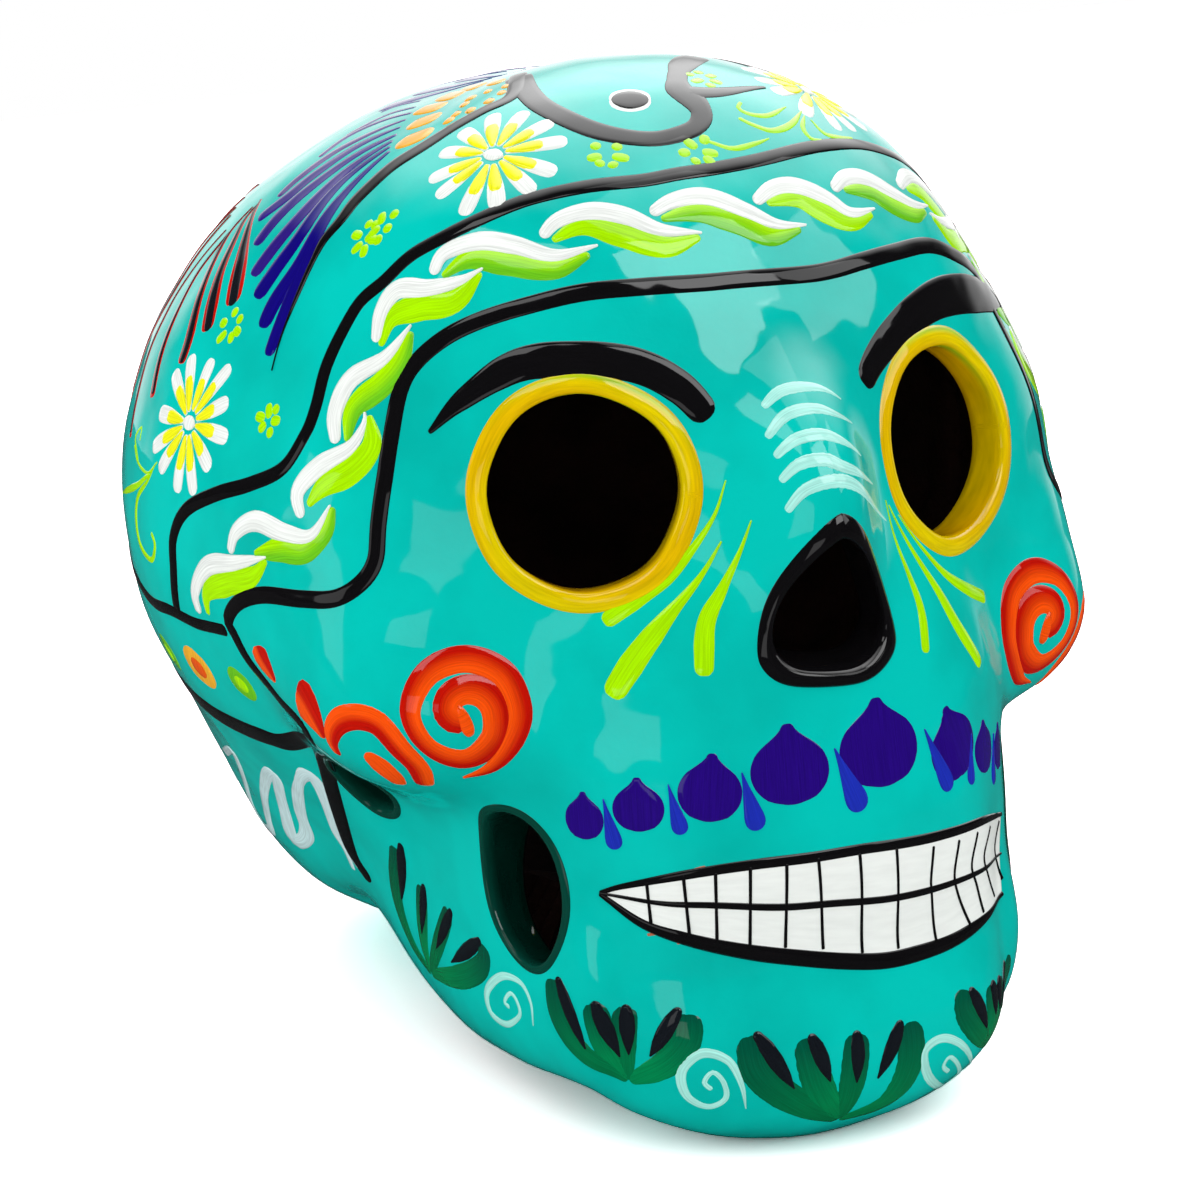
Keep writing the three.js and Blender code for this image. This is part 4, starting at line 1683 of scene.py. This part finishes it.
# %% Wings
WING_EDGE = [(519, 74), (513, 95), (482, 113), (451, 130), (422, 148), (394, 167), (373, 184),
             (355, 202), (341, 220), (326, 241), (314, 263), (303, 284), (284, 334), (274, 372)]
WING_EDGE_SPANS = [8, 8, 8, 9, 10, 11, 11, 10, 8, 6, 4.5, 3.5, 2, 1.5]
WING_DABS = [((397, 145), (434, 131), 13), ((407, 127), (440, 116), 12),
             ((416, 112), (444, 106), 12), ((441, 97), (461, 95), 12),
             ((466, 88), (482, 86), 10), ((491, 83), (505, 81), 9)]
SMALL_DABS = [(449, 121), (464, 106), (471, 99), (457, 114), (470, 112), (488, 92), (490, 101),
              (502, 94), (506, 87)]
SMALL_DAB_HALF, SMALL_DAB_SPAN = (5, -1.5), 6
FEATHERS = [
    ([(421, 101), (399, 106), (380, 113)], (2, 3.5, 2.5), PLUM),
    ([(416, 107), (390, 114), (362, 127), (345, 137)], (2, 4, 5, 3), PLUM),
    ([(412, 113), (383, 121), (350, 136), (318, 158)], (2, 5, 6.5, 5), PLUM),
    ([(407, 120), (372, 133), (338, 151), (302, 177), (278, 199)], (2, 6, 8, 8, 6), PLUM),
    ([(402, 128), (354, 149), (316, 174), (286, 199), (257, 221)], (2, 8, 10, 10, 8), PURPLE_BLUE),
    ([(398, 135), (350, 160), (303, 195), (276, 222), (255, 248)], (3, 8, 11, 11, 9), PURPLE_BLUE),
    ([(394, 141), (344, 174), (300, 218), (272, 251), (253, 279)], (3, 9, 12, 12, 10), PURPLE_BLUE),
    ([(392, 147), (342, 184), (302, 236), (275, 272), (256, 301)],
     (3, 8, 11, 12, 11), FEATHER_BLUE),
    ([(391, 151), (340, 199), (303, 258), (277, 301), (262, 330)],
     (3, 7, 10, 12, 11), FEATHER_BLUE),
    ([(391, 152), (343, 197), (309, 258), (285, 315), (269, 358)],
     (3, 8, 10, 12, 11), FEATHER_BLUE),
]
DARK_FEATHERS = [
    ([(262, 200), (252, 217), (246, 240), (241, 265), (236, 290), (233, 308)],
     (2, 4, 7, 10, 12, 11)),
    ([(259, 203), (245, 220), (232, 245), (221, 275), (213, 305), (207, 334)],
     (2, 4, 6, 8, 11, 10)),
    ([(254, 207), (232, 230), (216, 257), (202, 290), (190, 335), (182, 367)], (2, 4, 6, 8, 9, 8)),
    ([(245, 217), (220, 245), (197, 275), (180, 307), (162, 355), (152, 400)],
     (2, 3.5, 5, 6, 7, 7)),
    ([(227, 230), (200, 262), (177, 295), (160, 327), (140, 385), (131, 439)],
     (2, 2.5, 4, 5, 5, 4)),
]
CORE_SHARE, CORE_SHORTER = 0.62, 0.1
FEATHER_RISE, FEATHER_STEP = 0.06, 0.01
DAB_BASE, EDGE_BASE = 0.05, 0.08


def dark_feather(path, spans):
    """A red press with a black one over its middle."""
    core = np.array(path, float)
    core[-1] = core[-1] * (1 - CORE_SHORTER) + core[-2] * CORE_SHORTER
    narrow = np.array(spans) * CORE_SHARE
    return [stroke_seen(path, spans, RED, rise=FEATHER_RISE),
            stroke_seen(core, narrow, INK, base=FEATHER_RISE, rise=FEATHER_RISE)]


def dab(start, end, span):
    spans = np.array([DAB_END, 1, DAB_END]) * span
    return stroke_seen([start, np.add(start, end) / 2, end], spans, AMBER, base=DAB_BASE)


def small_dab(place):
    return dab(np.subtract(place, SMALL_DAB_HALF), np.add(place, SMALL_DAB_HALF), SMALL_DAB_SPAN)


def wing():
    strokes = []
    for number, (path, spans, colour) in enumerate(FEATHERS):
        strokes.append(stroke_seen(path, spans, colour, rise=FEATHER_RISE + FEATHER_STEP * number))
    for path, spans in DARK_FEATHERS:
        strokes += dark_feather(path, spans)
    strokes.append(stroke_seen(WING_EDGE, WING_EDGE_SPANS, BLACK, base=EDGE_BASE))
    return strokes + [dab(*d) for d in WING_DABS] + [small_dab(p) for p in SMALL_DABS]


wing_strokes = wing()
print("one wing has", len(wing_strokes), "strokes")

# %% [markdown]
# The far side of the bird
# The picture ends at the crown's horizon. Behind it the same feathers go on in a fan, and a tail of
# the same strokes hangs down the middle of the back, as the bird's shape asks. Their places are
# given as degrees round and up, because no line of sight reaches them.

# %% Hidden feathers and tail
BLUE_FAN_ROOT, DARK_FAN_ROOT = (-150, 73), (-139, 45)
BLUE_FAN = [(-151, 55), (-158, 57), (-165, 60)]
DARK_FAN = [(-131, 18), (-139, 20), (-147, 23), (-155, 28)]
FAN_START = 0.22
BLUE_FAN_WIDTH, DARK_FAN_WIDTH, FAN_CORE_WIDTH = 5.0, 4.6, 2.9
FAN_CORE_SHORTER = 0.05
TAIL_ROOT_UP, TAIL_TIP_UP, TAIL_STEP_UP = 66, 43, 3
TAIL_SPREAD, TAIL_MIDDLE = (-168, -174, 180, 174, 168), 2
TAIL_WIDTH = 6.0
CORE_RAISED = 0.1


def fan_press(root, tip, width, colour, shorter=0.0, **more):
    start = globe(*root) + (globe(*tip) - globe(*root)) * FAN_START
    middle = (start + globe(*tip)) / 2
    end = globe(*tip) * (1 - shorter) + start * shorter
    return press([start, middle, end], width, colour, DROP, rise=THIN_RISE, **more)


def fan():
    strokes = [fan_press(BLUE_FAN_ROOT, turn, BLUE_FAN_WIDTH, PURPLE_BLUE) for turn in BLUE_FAN]
    for turn in DARK_FAN:
        strokes.append(fan_press(DARK_FAN_ROOT, turn, DARK_FAN_WIDTH, RED))
        strokes.append(fan_press(DARK_FAN_ROOT, turn, FAN_CORE_WIDTH, INK, FAN_CORE_SHORTER,
                                 base=CORE_RAISED))
    return strokes


def tail():
    strokes = []
    for number, around in enumerate(TAIL_SPREAD):
        tip_up = TAIL_TIP_UP + abs(number - TAIL_MIDDLE) * TAIL_STEP_UP
        places = [globe(around, TAIL_ROOT_UP), globe(around, tip_up)]
        colour = PLUM if number % 2 else FEATHER_BLUE
        strokes.append(press(places, TAIL_WIDTH, colour, DROP, rise=THIN_RISE))
    return strokes


lay_strokes("wings", both(wing_strokes + fan()) + tail())

# %% [markdown]
# The band round the back of the head
# Between the two side lines a row of two-coloured dots goes round the back, orange and green in
# turn. Each is a wide dab with a small one on it. A pale wavy line runs below them. It is read in
# the picture at the front, and goes on round the back as a sine wave.

# %% Dots and wavy line
BAND_DOTS = [((243, 683), True), ((200, 667), False), ((170, 652), True)]
BACK_DOTS = [(-136, False), (-148, True), (-160, False), (-172, True)]
BAND_UP = -4.5
GREEN_DOT, ORANGE_DOT = 8.2, 10.0
DOT_LEAN = (0.92, 0.39)


def band_dot(centre, green):
    across, upwards = flat_frame(centre)
    way = upwards * DOT_LEAN[0] + across * DOT_LEAN[1]
    size, outer, inner = (GREEN_DOT, GRASS, LIME) if green else (ORANGE_DOT, AMBER, HOT_ORANGE)
    return [dot(centre, size, size, way, outer, rise=THIN_RISE),
            dot(centre, size / 2, size / 2, way, inner, base=CORE_RAISED, rise=THIN_RISE)]


def band():
    places = [(seen(*pixel), green) for pixel, green in BAND_DOTS]
    places += [(globe(around, BAND_UP), green) for around, green in BACK_DOTS]
    return [part for place, green in places for part in band_dot(place, green)]


WAVY_PIXELS = [(354, 870), (346, 850), (337, 832), (329, 808), (323, 792), (315, 779), (307, 774),
               (300, 780), (298, 795), (301, 813), (307, 832), (302, 841), (293, 838), (286, 815),
               (281, 795), (277, 778), (271, 772), (266, 778), (264, 795), (268, 815), (271, 830),
               (262, 824), (252, 803), (245, 780), (238, 761), (231, 750), (225, 752)]
WAVY_SPANS = [3, 5, 7, 9, 10, 10, 10, 9, 8, 9, 10, 11, 11, 9, 8, 8, 8, 7, 6, 6, 7, 6, 5, 5, 5, 5, 5]
WAVY_START, WAVY_STEP, WAVY_MARKS = -140, 1.3, 33
WAVY_PERIOD = 10
WAVY_TOP, WAVY_BOTTOM = -21.0, -35.0
WAVY_WIDTHS = [0.6] + [2.4] * 6


def wavy_line():
    front = stroke_seen(WAVY_PIXELS, WAVY_SPANS, PALE, rise=THIN_RISE, step=FINE_STEP)
    middle, swing = (WAVY_TOP + WAVY_BOTTOM) / 2, (WAVY_TOP - WAVY_BOTTOM) / 2
    turns = [(WAVY_START - k * WAVY_STEP, middle + swing * math.sin(2 * math.pi * k / WAVY_PERIOD))
             for k in range(WAVY_MARKS)]
    back = stroke([globe(*t) for t in turns], WAVY_WIDTHS, PALE, rise=THIN_RISE)
    return [front, back]


lay_strokes("back_band", both(band() + wavy_line()))

# %% [markdown]
# The room
# A varnished skull mirrors whatever stands round it, so the room matters as much as the lamps. To
# the camera the world is plain white, and it lights the paint evenly, at the strength at which a
# colour comes out as it was mixed. Only mirrored rays see a room. It is bright behind the skull and
# high up behind its left, and dark elsewhere, which keeps the black paint black.

# %% World
WHITE_TO_CAMERA = 1.0
AMBIENT = 1.0
DARK_SIDE = 0.02
BEHIND_FROM, BEHIND_TO, BEHIND_WHITE = 0.62, 0.95, 1.3
DOME_AROUND, DOME_UP = 140, 55
DOME_FROM, DOME_TO, DOME_WHITE = 0.58, 0.98, 4.5


def towards(around, up):
    a, e = math.radians(around), math.radians(up)
    return Vector((math.sin(a) * math.cos(e), -math.cos(a) * math.cos(e), math.sin(e)))


def bright_side(tree, direction, centre, start, full, white):
    """Brightness of the room around one direction, fading out from it."""
    facing = add_node(tree, "VectorMath", "Value", {0: direction, 1: centre},
                      operation="DOT_PRODUCT")
    return add_node(tree, "MapRange", "Result", {
        "Value": facing, "From Min": start, "From Max": full, "To Min": DARK_SIDE, "To Max": white,
    }, interpolation_type="SMOOTHSTEP")


def choose(tree, switch, off, on):
    """One of two numbers: on where the switch is 1, off where it is 0."""
    return add_node(tree, "MapRange", "Result", {"Value": switch, "To Min": off, "To Max": on})


def larger(tree, first, second):
    return add_node(tree, "Math", "Value", {0: first, 1: second}, operation="MAXIMUM")


def white_world():
    world = bpy.data.worlds.new("white_studio")
    tree = empty_tree(world)
    direction = add_node(tree, "TexCoord", "Generated")
    behind = bright_side(tree, direction, -look_back, BEHIND_FROM, BEHIND_TO, BEHIND_WHITE)
    dome_way = towards(DOME_AROUND, DOME_UP)
    dome = bright_side(tree, direction, dome_way, DOME_FROM, DOME_TO, DOME_WHITE)
    ray = tree.nodes.new("ShaderNodeLightPath").outputs
    mirrored_ray = larger(tree, ray["Is Glossy Ray"], ray["Is Transmission Ray"])
    strength = choose(tree, mirrored_ray, AMBIENT, larger(tree, behind, dome))
    strength = choose(tree, ray["Is Camera Ray"], strength, WHITE_TO_CAMERA)
    show(tree, "World", add_node(tree, "Background", "Background",
                                 {"Color": (1, 1, 1, 1), "Strength": strength}))
    bpy.context.scene.world = world
    return world


print("the room has", len(white_world().node_tree.nodes), "nodes")

# %% [markdown]
# Soft boxes
# The pale window shapes on the skull are mirrored soft boxes. Each is a rectangular lamp a metre
# away. We could light the paint with them too, but then it would be brighter on one side than the
# picture shows, so most of them shine on the varnish alone. Two wide lamps light the paint alone.

# %% Soft boxes
LIGHT_CENTRE = Vector((0, -0.02, 0.09))
BOX_DISTANCE = 1.0


def soft_box(name, around, up, size, power, lights_paint=False, mirrored_in_varnish=True):
    way = towards(around, up)
    data = bpy.data.lights.new(name, "AREA")
    data.shape = "RECTANGLE"
    data.size, data.size_y = size
    data.energy = power
    lamp = put_in_scene(name, data)
    lamp.location = LIGHT_CENTRE + way * BOX_DISTANCE
    lamp.rotation_euler = way.to_track_quat("Z", "Y").to_euler()
    lamp.visible_diffuse = lights_paint
    lamp.visible_glossy = mirrored_in_varnish
    return lamp


boxes = [
    soft_box("key_box", 14, 43, (0.62, 0.46), 4.6),
    soft_box("second_box", 54, 32, (0.5, 0.45), 1.8),
    soft_box("left_box", -68, 52, (0.7, 0.26), 1.8),
    soft_box("side_box", -106, 10, (0.34, 0.4), 0.45),
    soft_box("front_card", -46, 7, (0.42, 0.26), 0.4),
    soft_box("top_box", 20, 70, (0.6, 0.4), 1.2, lights_paint=True),
    soft_box("left_fill", -112, 4, (0.8, 0.6), 2.4, lights_paint=True, mirrored_in_varnish=False),
    soft_box("back_light", 150, 50, (0.8, 0.6), 1.4, lights_paint=True, mirrored_in_varnish=False),
]
print("lamps:", ", ".join(f"{box.name} {box.data.energy:.1f} W" for box in boxes))

# %% [markdown]
# White paper
# The skull stands on white paper. A white strong enough for the picture would throw too much light
# back onto the skull, so the camera alone sees it that bright. The varnish sees it nearly dark, as
# in the photograph, and for all other light it is matt paper that keeps the skull's shadow.

# %% Floor
FLOOR_HALF = 750.0
FLOOR_GLOW = 0.02
PAPER_WHITE = (0.85, 0.85, 0.85, 1)
PAPER_FOR_CAMERA = (2.5, 2.1, 2.15, 1)
PAPER_IN_VARNISH = (0.04, 0.04, 0.04, 1)


def matt(tree, colour):
    return add_node(tree, "BsdfDiffuse", "BSDF", {"Color": colour})


def mix(tree, factor, first, second):
    return add_node(tree, "MixShader", "Shader", {0: factor, 1: first, 2: second})


def white_paper():
    paper, tree = new_finish("white_paper")
    ray = tree.nodes.new("ShaderNodeLightPath").outputs
    plain = mix(tree, ray["Is Glossy Ray"], matt(tree, PAPER_WHITE), matt(tree, PAPER_IN_VARNISH))
    shown = mix(tree, ray["Is Camera Ray"], plain, matt(tree, PAPER_FOR_CAMERA))
    strength = choose(tree, ray["Is Camera Ray"], 0.0, FLOOR_GLOW)
    glow = add_node(tree, "Emission", "Emission", {"Strength": strength})
    show(tree, "Material", add_node(tree, "AddShader", "Shader", {0: shown, 1: glow}))
    return paper


def studio_floor():
    corners = [(-FLOOR_HALF, -FLOOR_HALF, 0), (FLOOR_HALF, -FLOOR_HALF, 0),
               (FLOOR_HALF, FLOOR_HALF, 0), (-FLOOR_HALF, FLOOR_HALF, 0)]
    floor = put_in_scene("floor", new_mesh("floor", corners, [(0, 1, 2, 3)]))
    floor.data.materials.append(white_paper())
    return floor


floor = studio_floor()
bpy.context.scene.view_settings.view_transform = "Standard"
print("paper:", 2 * FLOOR_HALF * MM, "m square, stage piece", floor.name)
